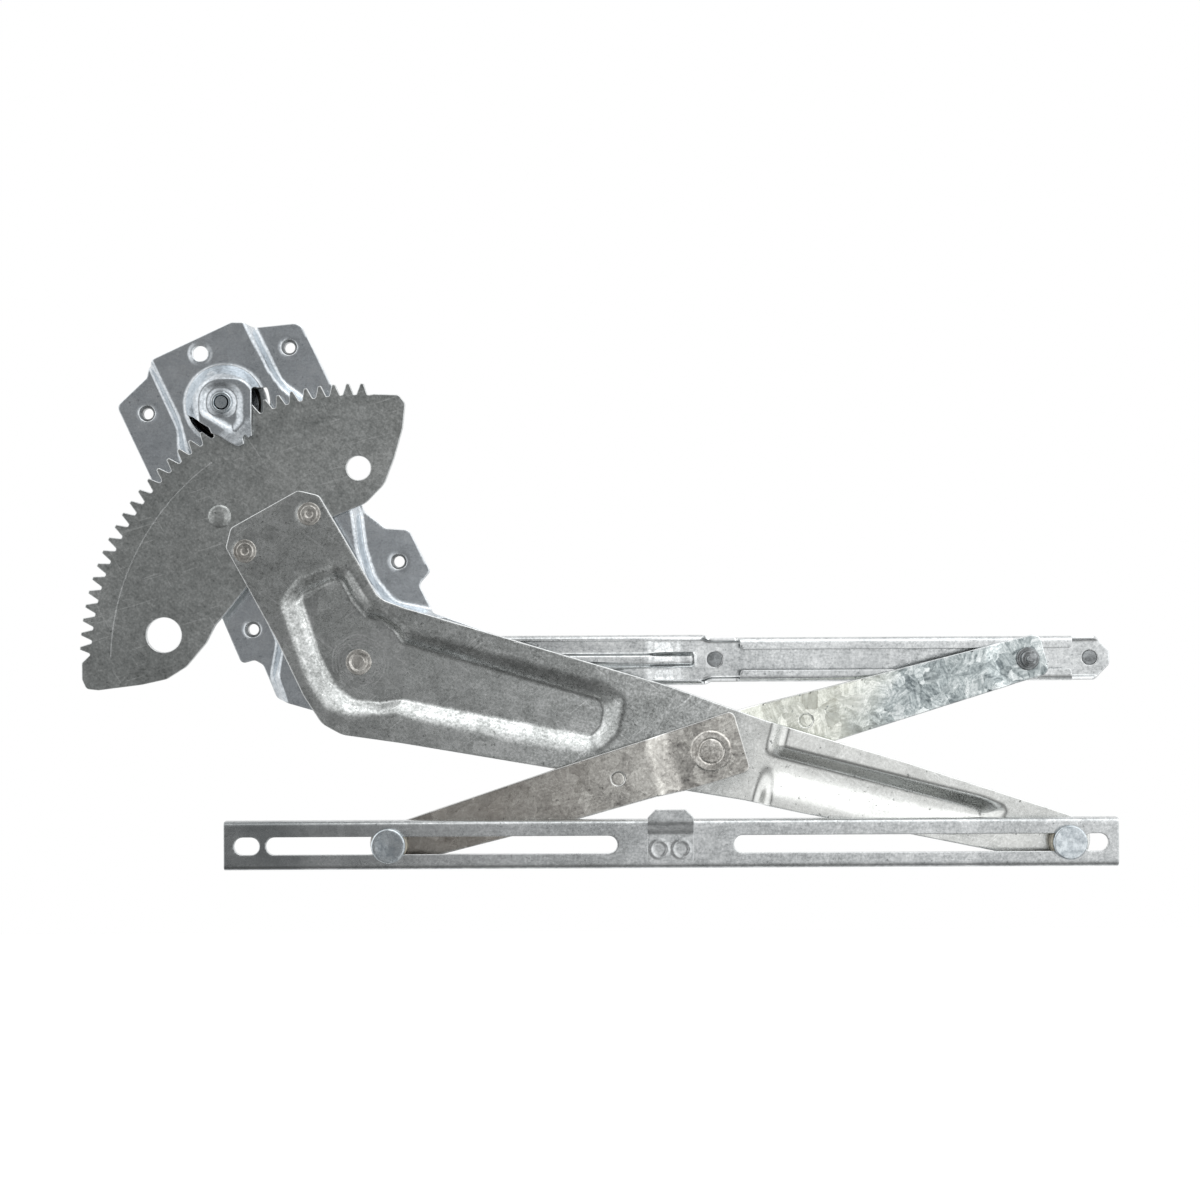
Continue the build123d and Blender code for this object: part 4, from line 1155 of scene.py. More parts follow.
@dataclass
class BasePlate:
    """Pressed base plate with its ears, raised middle, dome and the things fixed to it."""

    nuts: Corners = ((-37.0, 54.5), (34.0, 54.5), (38.0, -54.5), (-35.0, -54.5))
    nut_hole_r: float = 3.5
    locating: tuple[float, float] = (-3.0, 67.8)
    locating_r: float = 3.4
    dome_r: float = 17.9
    window_r: tuple[float, float] = (17.0, 20.4)
    collar_r: float = 4.6
    drum_r: float = 17.5
    drum_depth: float = 16.0

    def ears(self) -> Array:
        """Edge of the plate with its four ears, in the plate's frame.

        Returns:
            Corners of the edge.
        """
        return rounded(
            [(-48.2, 63.2), (-30.4, 69.2), (-27.8, 72.6), (-23.4, 74.6), (15.6, 74.7), (20.4, 72.4),
             (24.0, 69.0), (43.2, 62.4), (44.4, 26.0), (34.2, 14.0), (33.6, -28.0), (39.2, -38.5),
             (48.3, -43.5), (49.2, -64.7), (41.8, -68.0), (42.6, -82.0), (66.1, -105.2), (56.9, -125.2),
             (23.2, -121.8), (-8.4, -113.9), (-26.0, -98.4), (-38.2, -87.8), (-37.5, -71.0), (-40.0, -67.5),
             (-46.2, -66.5), (-45.4, -42.0), (-31.5, -34.0), (-33.0, 14.0), (-47.9, 24.5)],
            [3, 2, 2, 4, 4, 3, 3, 5, 3, 4, 6, 3, 3, 2, 3, 3, 4, 4, 8, 12, 6, 4, 3, 2, 2.5, 2, 3, 3, 4])

    def middle(self) -> Array:
        """Foot of the wall round the raised middle, in the plate's frame.

        Returns:
            Corners of the foot.
        """
        return rounded(
            [(-27.4, 95.0), (24.0, 95.0), (24.4, 42.0), (31.5, 30.0), (33.0, -10.0), (32.6, -26.0),
             (27.5, -42.0), (25.5, -56.0), (29.0, -70.0), (43.0, -80.0), (75.0, -92.0), (60.0, -130.0),
             (-38.0, -130.0), (-38.5, -92.0), (-36.8, -77.0), (-27.6, -64.0), (-26.6, -40.0), (-29.0, -10.0),
             (-33.0, 30.0), (-27.6, 42.0)],
            [0, 0, 14, 14, 14, 14, 14, 14, 12, 10, 0, 0, 0, 12, 8, 8, 12, 12, 6, 10])

    def crest(self) -> Array:
        """Edge of the level middle, at the top of the wall, in the plate's frame.

        Returns:
            Corners of the crest.
        """
        return rounded(
            [(-24.2, 95.0), (19.4, 95.0), (21.6, 48.0), (23.6, 38.0), (28.0, 28.0), (29.0, -10.0),
             (28.4, -26.0), (23.5, -42.0), (21.4, -56.0), (25.0, -72.0), (40.0, -84.0), (70.0, -97.0),
             (60.0, -130.0), (-33.0, -130.0), (-33.6, -92.0), (-32.2, -79.0), (-23.4, -66.0), (-22.4, -40.0),
             (-24.6, -10.0), (-25.6, 34.0), (-23.6, 46.0)],
            [0, 0, 14, 8, 8, 14, 14, 14, 14, 12, 10, 0, 0, 0, 12, 8, 8, 12, 12, 8, 8])

    def plate_surface(self, plan: Array) -> Array:
        """Ears at their level, a wall up to the raised middle, and a lip that climbs round the dome.

        Args:
            plan: Points (x, y) in the piece's frame, in mm.

        Returns:
            Depth at each point in mm.
        """
        rise = pressing(plan, self.middle(), self.crest(), 0.42)
        depth = LEVEL.ear + (LEVEL.middle - LEVEL.ear) * rise
        hub = self.dome_spot()
        radius = np.hypot(plan[:, 0] - hub[0], plan[:, 1] - hub[1])
        depth += 0.7 * np.clip(self.dome_r + 0.4 - radius, 0, 1.6)
        depth -= 0.2 * sunk(plan, *self.locating, 5.5, 1.0, 0.45)
        for x, y in self.nuts:
            depth -= 0.1 * sunk(plan, x, y, 4.8, 0.9, 0.4)
        return np.column_stack([plan, depth])

    def dome_spot(self) -> tuple[float, float]:
        """Pinion's axis in the plate's frame.

        Returns:
            Its x and y in mm.
        """
        angle = math.radians(LINK.plate_turn)
        x, z = LINK.pinion.x, LINK.pinion.z
        return x * math.cos(angle) + z * math.sin(angle), -x * math.sin(angle) + z * math.cos(angle)

    def dome_hole(self) -> Array:
        """Hole under the dome: its foot where the dome stands, and windows where its wall was cut away.

        Returns:
            Corners of the hole.
        """
        turns = np.radians(np.arange(0, 360, 2.0))
        seen = np.degrees(turns)
        left, right = self.window_r
        radius = np.select([(seen > 197) & (seen < 250), (seen > 250) | (seen < 23)], [left, right],
                           self.dome_r - 0.25)
        x, y = self.dome_spot()
        turned_back = turns - math.radians(LINK.plate_turn)
        return np.column_stack([x + radius * np.cos(turned_back), y + radius * np.sin(turned_back)])

    def cap_outline(self) -> Array:
        """Edge of the dome's cap with its tongue, about the pinion's axis.

        Returns:
            Corners of the edge.
        """
        turns = np.radians(np.arange(23.5, 197.0, 1.5))
        arc = self.dome_r * np.column_stack([np.cos(turns), np.sin(turns)])
        cut = rounded(
            [(-16.8, -5.2), (-13.8, -6.3), (-5.7, -11.3), (-4.5, -13.9), (-1.6, -14.8), (3.3, -18.0),
             (6.7, -19.7), (9.8, -18.5), (9.2, -15.8), (10.3, -14.3), (11.7, -16.8), (12.4, -14.6),
             (13.3, -16.6), (13.35, 5.8), (14.2, 7.1)],
            [0.5, 2.0, 1.0, 0.6, 0.6, 1.5, 0.9, 0.4, 0.3, 0.4, 0.3, 0.3, 0.3, 1.0, 0.5], 0.25, closed=False)
        return np.vstack([arc, cut])

    def cap_surface(self, plan: Array) -> Array:
        """Cone up to a crest, a teardrop dish in it, a boss round the shaft and a drooping tongue.

        With s = a / (a + b), a the distance in from the base circle and b the distance out from the flat
        top, the cone's height is 1.3 s less 0.3 s to the power 4.33, so it is steep at its foot and level at
        the crest. Over the sector's path the top reaches out to the tongue.

        Args:
            plan: Points (x, y) in the piece's frame, in mm.

        Returns:
            Depth at each point in mm.
        """
        radius = np.hypot(plan[:, 0], plan[:, 1])
        top = rounded([(-10.0, 10.0), (10.0, 10.0), (15.5, 2.5), (15.5, -24.0), (3.5, -24.0), (-10.0, -10.4)],
                      [9.9, 9.9, 6, 0, 0, 8])
        a = np.maximum(self.dome_r - radius, 0)
        b = np.maximum(-inside(plan, top), 0)
        share = a / np.maximum(a + b, 1e-9)
        share = np.where(b > 0, 1.3 * share - 0.3 * share ** 4.33, 1.0)
        depth = LEVEL.middle + (LEVEL.dome - LEVEL.middle) * share
        dish = rounded([(-10.2, 10.2), (10.2, 10.2), (10.3, -9.5), (5.4, -15.2), (-10.6, -5.6)],
                       [10.1, 10.1, 5, 3, 6.5])
        depth -= 1.15 * ramp(inside(plan, dish), 4.4, 2.1)
        depth += 0.6 * ramp(7.4 - radius, 2.6, 1.2)
        along = plan[:, 0] * 0.459 - plan[:, 1] * 0.889
        depth -= 2.0 * ramp(along - 11.0, 9.5, 3.5)
        return np.column_stack([plan, depth])

    def pieces(self) -> list[Piece]:
        """Plate with its cap, bush, nuts, pivot, drum and washer.

        Returns:
            The pieces, in the order they are added.
        """
        holes = [circle(x, y, self.nut_hole_r) for x, y in self.nuts]
        holes += [circle(*self.locating, self.locating_r), self.dome_hole()]
        plate = Sheet(self.ears(), self.plate_surface, LEVEL.base_gauge, holes, grid=0.8, roll=0.35).shape()
        cap = Sheet(self.cap_outline(), self.cap_surface, LEVEL.base_gauge,
                    [circle(0, 0, self.collar_r - 0.1)],
                    grid=0.45, roll=0.3).shape()
        body = joined([plate.level(LINK.plate), cap.level(LINK.pinion)])
        level = Place(0, 0)
        found = [Piece("base_plate_sheet", body, level, Body.BASE, "base_plate", Finish.PLATE)]
        dome = LEVEL.dome
        bush = turned([(3.4, dome + 0.75), (4.75, dome + 0.75), (4.75, dome - 0.6), (4.4, dome - 2.0),
                       (2.78, dome - 2.0), (2.78, dome - 0.6)], [0.3, 0.5, 0.2, 0.1, 0.1, 0.2])
        found.append(Piece("dome_bush", bush, LINK.pinion, Body.BASE, "journal_bush", Finish.PLATED))
        nut = turned([(2.5, LEVEL.nut), (6.3, LEVEL.nut), (6.3, LEVEL.nut - 1.2), (5.0, LEVEL.nut - 1.2),
                      (5.0, 0.0), (2.5, 0.0)],
                     [0.4, 0.3, 0.3, 0.5, 0.5, 0.4], 48)
        nuts = joined([nut.moved(x, y) for x, y in self.nuts])
        found.append(Piece("ear_nuts", nuts, LINK.plate, Body.BASE, "weld_nuts", Finish.BARE))
        well = LEVEL.well
        head = [(0, well + 0.5), (2.4, well + 0.52), (3.2, well + 0.4), (4.3, well + 0.72),
                (5.8, well + 0.62), (5.8, well + 0.06), (4.45, well + 0.06), (4.45, 12.0), (6.8, 12.0),
                (6.8, 10.5), (0, 10.5)]
        pivot = turned(head, [0, 0.5, 0.5, 0.6, 0.35, 0, 0.1, 0.1, 0.3, 0.5, 0])
        found.append(Piece("pivot_rivet", pivot, LINK.pivot, Body.BASE, "main_pivot", Finish.UPSET))
        washer = turned([(4.6, 14.93), (9.0, 14.93), (9.0, 14.0), (4.6, 14.0)], 0.25)
        found.append(Piece("pivot_spring_washer", washer, LINK.pivot, Body.BASE, "pivot_washer",
                           Finish.SPRING))
        back = LEVEL.middle - LEVEL.base_gauge - self.drum_depth
        outer, lip = self.drum_r, LEVEL.middle - LEVEL.base_gauge
        cup = [(16.0, lip), (18.6, lip), (18.6, lip - 1.5), (outer, lip - 1.5), (outer, back), (7.0, back),
               (7.0, back + 1.5), (16.0, back + 1.5)]
        drum = turned(cup, [0.2, 0.4, 0.4, 0.8, 2.4, 0.4, 0.2, 1.4], 96)
        found.append(Piece("drum_cup", drum, LINK.pinion, Body.BASE, "brake_drum", Finish.BARE))
        ring = turned([(6.05, back + 1.5), (6.95, back + 1.5), (6.95, back - 0.5), (6.05, back - 0.5)], 0.15)
        found.append(Piece("spindle_ring", ring, LINK.pinion, Body.BASE, "spindle_bush", Finish.BUSH))
        return found


@dataclass
class FixedRail:
    """Channel on the panel with inturned lips, joggled down to the stem on the base plate."""

    lip_reach: tuple[float, float] = (128.8, 20.1)
    flange_past: float = 31.9
    rail_past: float = 39.6
    stem_left: float = 74.0
    stem_short: float = 16.8
    joggle: tuple[float, float] = (26.2, 9.0)
    half: float = 10.0
    stem_half: float = 11.3
    lip_opening: float = 9.2
    rib_half: float = 2.9
    rib_rise: float = 1.9
    stud_head_r: float = 3.45
    bend: float = 1.3

    @property
    def guide_x(self) -> float:
        """Guide stud's place along the rail at rest."""
        return LINK.rear.beyond(LINK.balance_half, 0).x

    @property
    def lips(self) -> tuple[float, float]:
        """Left and right ends of the lips."""
        return self.guide_x - self.lip_reach[0], self.guide_x + self.lip_reach[1]

    @property
    def stem_right(self) -> float:
        """End of the stem's wide flanges."""
        return self.lips[0] - self.stem_short

    def studs(self) -> tuple[float, float]:
        """Places of the two panel studs along the rail."""
        return self.stem_right + 5.4, self.guide_x + self.flange_past - 1.4

    def web(self, x: Array) -> Array:
        """Depth of the web's viewer side along the rail: stem, joggle, rail."""
        start, end = self.stem_right - self.joggle[0], self.stem_right - self.joggle[1]
        return LEVEL.stem - (LEVEL.stem - LEVEL.rail_gauge) * ramp(x - start, end - start, 5.0)

    def surface(self, plan: Array) -> Array:
        """Web, flanges and lips by the length across them, with a rib pressed along the stem.

        The flange's height is the rest of the way from the web to the lips, so its length is stretched
        where the web is deeper.

        Args:
            plan: Points (x, y) in the piece's frame, in mm.

        Returns:
            Depth at each point in mm.
        """
        x, across = plan[:, 0], plan[:, 1]
        wide = self.half + (self.stem_half - self.half) * (1 - ramp(x - self.stem_right + 0.5, 4.5, 2.0))
        web = self.web(x)
        length = np.abs(across)
        lip = LEVEL.fixed_lip
        inner = self.half - LEVEL.rail_gauge
        flange = LEVEL.fixed_lip - LEVEL.rail_gauge
        scale = (wide - LEVEL.rail_gauge) / inner
        y, depth = folded(length, (0, inner, inner + flange - 1.5, inner + flange + 8),
                          ((0, web), (inner * scale, web), (inner * scale, lip - 1.5),
                           (inner * scale - 9.5, lip - 1.5)), self.bend)
        rib = ramp(self.rib_half - np.abs(across), 1.5, 0.6) * ramp(self.stem_right - 3.0 - x, 2.5, 1.0)
        rib *= ramp(x - self.stem_left - 30.0, 2.5, 1.0)
        return np.column_stack([x, np.sign(across) * y, depth + self.rib_rise * rib])

    def outline(self) -> Array:
        """Edge of the flat blank: web, flanges, lips and the chamfered right end.

        Returns:
            Corners of the edge.
        """
        left, right = self.lips
        inner = self.half - LEVEL.rail_gauge
        flange = inner + LEVEL.fixed_lip - LEVEL.rail_gauge - 1.5 + 1.2
        lip = (inner + LEVEL.fixed_lip - LEVEL.rail_gauge - 1.5 + self.half - LEVEL.rail_gauge
               - self.lip_opening / 2)
        end, corner = self.guide_x + self.rail_past, self.guide_x + self.flange_past
        upper = [(end, 3.0), (corner + 3.0, inner - 0.6), (corner, inner + 1.6), (right + 1.2, inner + 2.6),
                 (right + 0.6, flange), (right, lip), (left, lip), (left - 0.6, flange - 3.0),
                 (left - 3.0, flange - 3.0),
                 (self.stem_right + 1.0, flange - 3.0),
                 (self.stem_right - 1.5, flange), (self.stem_left, flange)]
        radii = [3.0, 3.0, 2.0, 1.0, 0.8, 1.2, 1.2, 1.0, 1.0, 1.5, 1.5, 1.0]
        lower = [(x, -y) for x, y in reversed(upper)]
        return rounded(upper + lower, radii + radii[::-1])

    def pieces(self) -> list[Piece]:
        """Rail, its two panel studs and the lap rivets.

        Returns:
            The pieces, in the order they are added.
        """
        holes = [circle(x, 0, self.stud_head_r) for x in self.studs()]
        sheet = Sheet(self.outline(), self.surface, LEVEL.rail_gauge, holes, grid=0.75, roll=0.3)
        found = [Piece("fixed_rail_sheet", sheet.shape(), LINK.fixed_rail, Body.BASE, "fixed_rail",
                       Finish.UPPER_RAIL)]
        stud = [(0, 1.15), (3.4, 1.15), (3.4, 0.0), (3.0, 0.0), (3.0, -13.0), (0, -13.0)]
        studs = joined([turned(stud, [0, 0.35, 0.1, 0.1, 0.6, 0], 48, x) for x in self.studs()])
        found.append(Piece("rail_studs", studs, LINK.fixed_rail, Body.BASE, "panel_studs", Finish.BARE))
        head = [(0, 9.5), (3.5, 9.5), (3.5, 8.5), (2.0, 8.5), (2.0, 5.0), (3.5, 5.0), (3.5, 4.0), (0, 4.0)]
        rivets = joined([turned(head, [0, 0.7, 0.1, 0.1, 0.1, 0.1, 0.6, 0], 40, self.stem_left + 15 + 9 * i)
                         for i in (-1, 0, 1)])
        found.append(Piece("stem_rivets", rivets, LINK.fixed_rail, Body.BASE, "lap_rivets", Finish.RIVET))
        return found


@dataclass
class LiftArm:
    """Long pressed arm with its head, well, step and channel, and the sector riveted behind it."""

    step_past: float = 23.4
    step_run: float = 8.0
    rivets: Corners = ((-37.3, 59.1), (-61.1, 36.0))
    rivet_dip: float = 0.12
    stud_r: float = 2.75
    tooling: tuple[float, float, float] = (-87.1, 12.7, 7.8)
    small_tooling: tuple[float, float, float] = (0.5, 87.1, 5.4)
    backlash: float = 0.3
    pressure: float = 20.0
    first_tooth: float = 88.99
    last_tooth: float = 178.3
    pierced: tuple[float, float, float] = (-61.8, 65.7, 5.2)
    lobe_r: float = 120.4
    scribe: tuple[float, float, float] = (111.0, 126.0, 178.5)

    def outline(self) -> Array:
        """Edge of the arm, from its head along the top to the stud's end and back.

        Returns:
            Corners of the edge.
        """
        return rounded(
            [(-69.9, 35.3), (-69.9, 44.5), (-44.8, 68.2), (-34.8, 68.3), (-7.4, 40.2), (2.4, 30.1),
             (14.0, 28.8), (56.5, 27.0), (137.0, 23.6), (182.0, 19.2), (245.5, 16.6), (311.0, 12.4),
             (335.8, 10.6), (335.8, -10.6), (296.0, -12.3), (267.0, -13.7), (208.0, -16.9), (182.5, -17.9),
             (155.8, -20.1), (27.3, -30.4), (1.0, -33.2), (-9.0, -30.6), (-20.0, -20.5), (-37.5, 0.6)],
            [2.5, 3, 4, 3.5, 10, 10, 12, 0, 30, 20, 30, 14, 10.5, 10.5, 14, 30, 30, 30, 30, 40, 12, 10, 10,
             25])[::-1]

    def surface(self, plan: Array) -> Array:
        """Level arm with a well pressed round the pivot, then a step up with a channel left along it.

        Args:
            plan: Points (x, y) in the piece's frame, in mm.

        Returns:
            Depth at each point in mm.
        """
        rim = rounded(
            [(-36.0, 31.5), (-42.5, 17.0), (-21.5, -14.5), (-9.0, -25.8), (5.0, -26.4), (23.0, -21.4),
             (60.0, -20.4), (98.0, -18.8), (114.5, -15.6), (122.5, -4.0), (122.5, 16.0), (106.0, 20.6),
             (61.0, 20.6), (18.0, 21.2), (8.3, 26.2), (-1.5, 29.6), (-13.5, 40.4), (-21.5, 41.5)],
             [8, 8, 8, 8, 8, 12, 0, 10, 8, 8, 7, 8, 0, 8, 6, 8, 6, 6])
        floor = rounded(
            [(-32.7, 22.4), (-17.3, 34.4), (-9.7, 25.8), (-1.7, 19.9), (4.8, 20.2), (12.4, 17.5),
             (17.3, 12.7), (109.6, 9.2), (111.9, 5.8), (112.3, -1.5), (109.4, -6.4), (22.0, -11.1),
             (13.7, -14.6), (1.1, -16.6), (-7.7, -12.7),
             (-17.5, -1.7)], [2.5, 2.5, 5, 4, 3, 4, 4, 2.5, 2, 2, 2.5, 8, 5, 5, 5, 8])
        start = LINK.lift_half + self.step_past
        channel_rim = rounded([(start - 14, 10.8), (start + 96, 10.8), (294.5, 9.8), (298.0, 6.0),
                               (293.0, -4.0), (275.0, -10.5), (250.0, -13.4),
                               (start - 14, -14.6)], [0, 20, 3, 3, 6, 14, 20, 0])
        channel_floor = rounded([(start - 14, 3.9), (284.0, 3.2), (287.0, 1.8), (262.0, 1.0),
                                 (start - 14, 1.6)],
                                [0, 0.8, 0.6, 8, 0])
        high = ramp(plan[:, 0] - start, self.step_run, 3.2)
        open_share = pressing(plan, channel_rim, channel_floor, 0.24)
        depth = LEVEL.arm + (LEVEL.high - LEVEL.arm) * high * (1 - open_share)
        depth -= (LEVEL.arm - LEVEL.well) * pressing(plan, rim, floor, 0.16, 1.7)
        for x, y in self.rivets:
            depth -= self.rivet_dip * sunk(plan, x, y, 6.4, 1.6, 0.75)
        return np.column_stack([plan, depth])

    def sector_outline(self) -> tuple[Array, list[Array]]:
        """Toothed rim by straight flanks at the pressure angle, and the blade with its two lobes.

        Returns:
            The edge, counter-clockwise, and the two tooling holes.
        """
        pitch = 360 / LINK.sector_teeth
        pitch_r = LINK.module * LINK.sector_teeth / 2
        tip_r, root_r = pitch_r + LINK.module, pitch_r - 1.5 * LINK.module
        half = (math.pi * LINK.module / 2 - self.backlash) / 2
        lean = math.tan(math.radians(self.pressure))
        tip_half = math.degrees((half - LINK.module * lean) / tip_r)
        root_half = math.degrees((half + 1.4 * LINK.module * lean) / root_r)
        middles = np.arange(self.first_tooth, self.last_tooth, pitch)
        swings = np.array([-root_half, -tip_half, tip_half, root_half])
        reaches = np.array([root_r, tip_r, tip_r, root_r])
        turns = np.radians(middles[:, None] + swings[None, :])
        teeth = np.stack([reaches * np.cos(turns), reaches * np.sin(turns)], axis=2).reshape(-1, 2)
        low = pitch_r + 1.0
        blade = [(-low, 0.4), (-low, -7.0), (-122.0, -11.4), (-116.5, -12.0), (-97.0, -9.6), (-86.0, -7.2),
                 (-77.0, -1.6), (-68.0, 9.0), (-64.0, 16.8), (-58.0, 24.0), (-50.2, 33.6), (-38.0, 48.0),
                 (-10.3, 65.6), (3.6, 71.2), (12.2, 80.0), (16.6, 91.5), (20.4, 104.8), (21.6, 116.0),
                 (18.6, 119.8)]
        stop = math.radians(self.first_tooth - pitch)
        lobe = self.lobe_r
        blade += [(lobe * math.cos(stop + math.radians(tip_half)),
                   lobe * math.sin(stop + math.radians(tip_half))),
                  (root_r * math.cos(stop + math.radians(root_half)),
                   root_r * math.sin(stop + math.radians(root_half)))]
        corners = [tuple(point) for point in teeth] + blade
        radii = [0.65, 0.42, 0.42, 0.65] * len(middles)
        radii += [0.6, 3, 2.5, 3, 6, 6, 8, 8, 8, 6, 0, 0, 8, 12, 10, 14, 10, 3, 2, 0.6, 0.4]
        return rounded(corners, radii, 0.35), [circle(*self.tooling, 0.6), circle(*self.small_tooling, 0.6)]

    def rivet(self, x: float, y: float) -> Shape:
        """Upset rivet head with rings round a dimple, and its tail behind the sector.

        Args:
            x: Place along the piece's x in mm.
            y: Place along the piece's y in mm.

        Returns:
            The mesh.
        """
        face = LEVEL.arm - self.rivet_dip
        tail = LEVEL.sector - LEVEL.sector_gauge
        return turned([(0, face + 0.2), (1.4, face + 0.22), (2.0, face + 0.42), (3.4, face + 0.45),
                       (3.8, face + 0.28), (5.2, face + 0.22), (5.2, face - 0.1), (3.6, face - 0.1),
                       (3.6, tail - 0.05), (5.2, tail - 0.05), (5.2, tail - 0.6),
                       (0, tail - 0.6)], [0, 0.3, 0.3, 0.3, 0.3, 0.15, 0, 0, 0, 0, 0.4, 0],
                       56, x, y)

    def pieces(self) -> list[Piece]:
        """Arm, sector, rivets, centre bush and end stud.

        Returns:
            The pieces, in the order they are added.
        """
        reach = 2 * LINK.lift_half
        holes = [circle(0, 0, 4.5), circle(LINK.lift_half, 0, 8.0), circle(reach, 0, self.stud_r)]
        holes += [circle(x, y, 3.6) for x, y in self.rivets]
        arm = Sheet(self.outline(), self.surface, LEVEL.arm_gauge, holes, grid=0.8, roll=0.45).shape()
        found = [Piece("lift_arm_sheet", arm, LINK.lift, Body.LIFT, "lift_arm", Finish.ARM)]
        edge, tooling = self.sector_outline()
        front, back = LEVEL.sector, LEVEL.sector - LEVEL.sector_gauge
        blank = blanked(edge, tooling, back, front, 0.4)
        x, y, radius = self.pierced
        disc = turned([(0, front + 0.95), (2.2, front + 0.9), (radius - 0.9, front + 0.55),
                       (radius, front + 0.1), (radius, front - 0.4),
                       (0, front - 0.4)], [0, 4.0, 1.2, 0.2, 0, 0], 64, x, y)
        turns = np.radians(np.linspace(self.scribe[1], self.scribe[2], 140))
        line = np.column_stack([np.cos(turns), np.sin(turns)])
        arc = np.vstack([line * (self.scribe[0] + 0.22), line[::-1] * (self.scribe[0] - 0.22)])
        scribe = blanked(arc, [], front - 0.2, front + 0.07, 0.12)
        found.append(Piece("sector_blank", joined([blank, disc, scribe]), LINK.pivot, Body.LIFT,
                           "sector_gear", Finish.SECTOR))
        rivets = joined([self.rivet(px, py) for px, py in self.rivets])
        found.append(Piece("head_rivets", rivets, LINK.lift, Body.LIFT, "sector_rivets", Finish.UPSET))
        bush = turned([(6.55, 22.15), (8.0, 22.15), (8.0, 19.35), (6.55, 19.35)], 0.2)
        found.append(Piece("centre_ring", bush, LINK.lift.beyond(LINK.lift_half, 0), Body.LIFT, "centre_bush",
                           Finish.BUSH))
        stud = RollerStuds().headed()
        found.append(Piece("lift_end_stud", stud, LINK.lift.beyond(reach, 0), Body.LIFT, "lift_stud",
                           Finish.PLATED))
        return found


@dataclass
class RollerStuds:
    """Headed studs and nylon rollers that run in the rails."""

    head_r: float = 7.6
    head: float = 2.6
    play: float = 0.3
    roller_r: float = 8.0
    guide_r: float = 7.25

    def headed(self) -> Shape:
        """Stud with a tail behind the arm, a neck through the slot and a broad turned head.

        Returns:
            The mesh.
        """
        tail = LEVEL.high - LEVEL.arm_gauge
        seat = LEVEL.lower_face + self.play
        face = seat + self.head
        return turned([(0, face - 0.12), (5.9, face), (self.head_r, face), (self.head_r, seat), (2.75, seat),
                       (2.75, tail), (5.0, tail), (5.0, tail - 1.0), (0, tail - 1.0)],
                       [0, 0.3, 0.75, 0.5, 0.2, 0.1, 0.1, 0.4, 0], 96)

    def rail_roller(self) -> Shape:
        """Roller between an arm and the lower rail's face, with a grease groove.

        Returns:
            The mesh.
        """
        back = LEVEL.high + 0.05
        front = LEVEL.lower_face - LEVEL.rail_gauge - self.play
        middle = (front + back) / 2
        r = self.roller_r
        return turned([(2.8, front), (r, front), (r, middle + 0.6), (r - 0.5, middle), (r, middle - 0.6),
                       (r, back), (2.8, back)],
                      [0.3, 1.1, 0.2, 0.3, 0.2, 1.1, 0.3], 72)

    def guide_roller(self) -> Shape:
        """Roller inside the fixed rail, behind its lips.

        Returns:
            The mesh.
        """
        back, front = 2.85, 10.2
        return turned([(2.8, front), (self.guide_r, front), (self.guide_r, back), (2.8, back)],
                      [0.3, 0.9, 0.9, 0.3], 72)

    def pieces(self) -> list[Piece]:
        """The three rollers.

        Returns:
            The pieces, in the order they are added.
        """
        lift_end = LINK.lift.beyond(2 * LINK.lift_half, 0)
        front_end = LINK.front.beyond(LINK.balance_half, 0)
        rear_end = LINK.rear.beyond(LINK.balance_half, 0)
        return [
            Piece("lift_end_roller", self.rail_roller(), lift_end, Body.LIFT_ROLLER, "lift_roller",
                  Finish.NYLON),
            Piece("front_end_roller", self.rail_roller(), front_end, Body.BALANCE_ROLLER, "balance_roller",
                  Finish.NYLON),
            Piece("rear_end_roller", self.guide_roller(), rear_end, Body.GUIDE_ROLLER, "guide_roller",
                  Finish.NYLON),
        ]


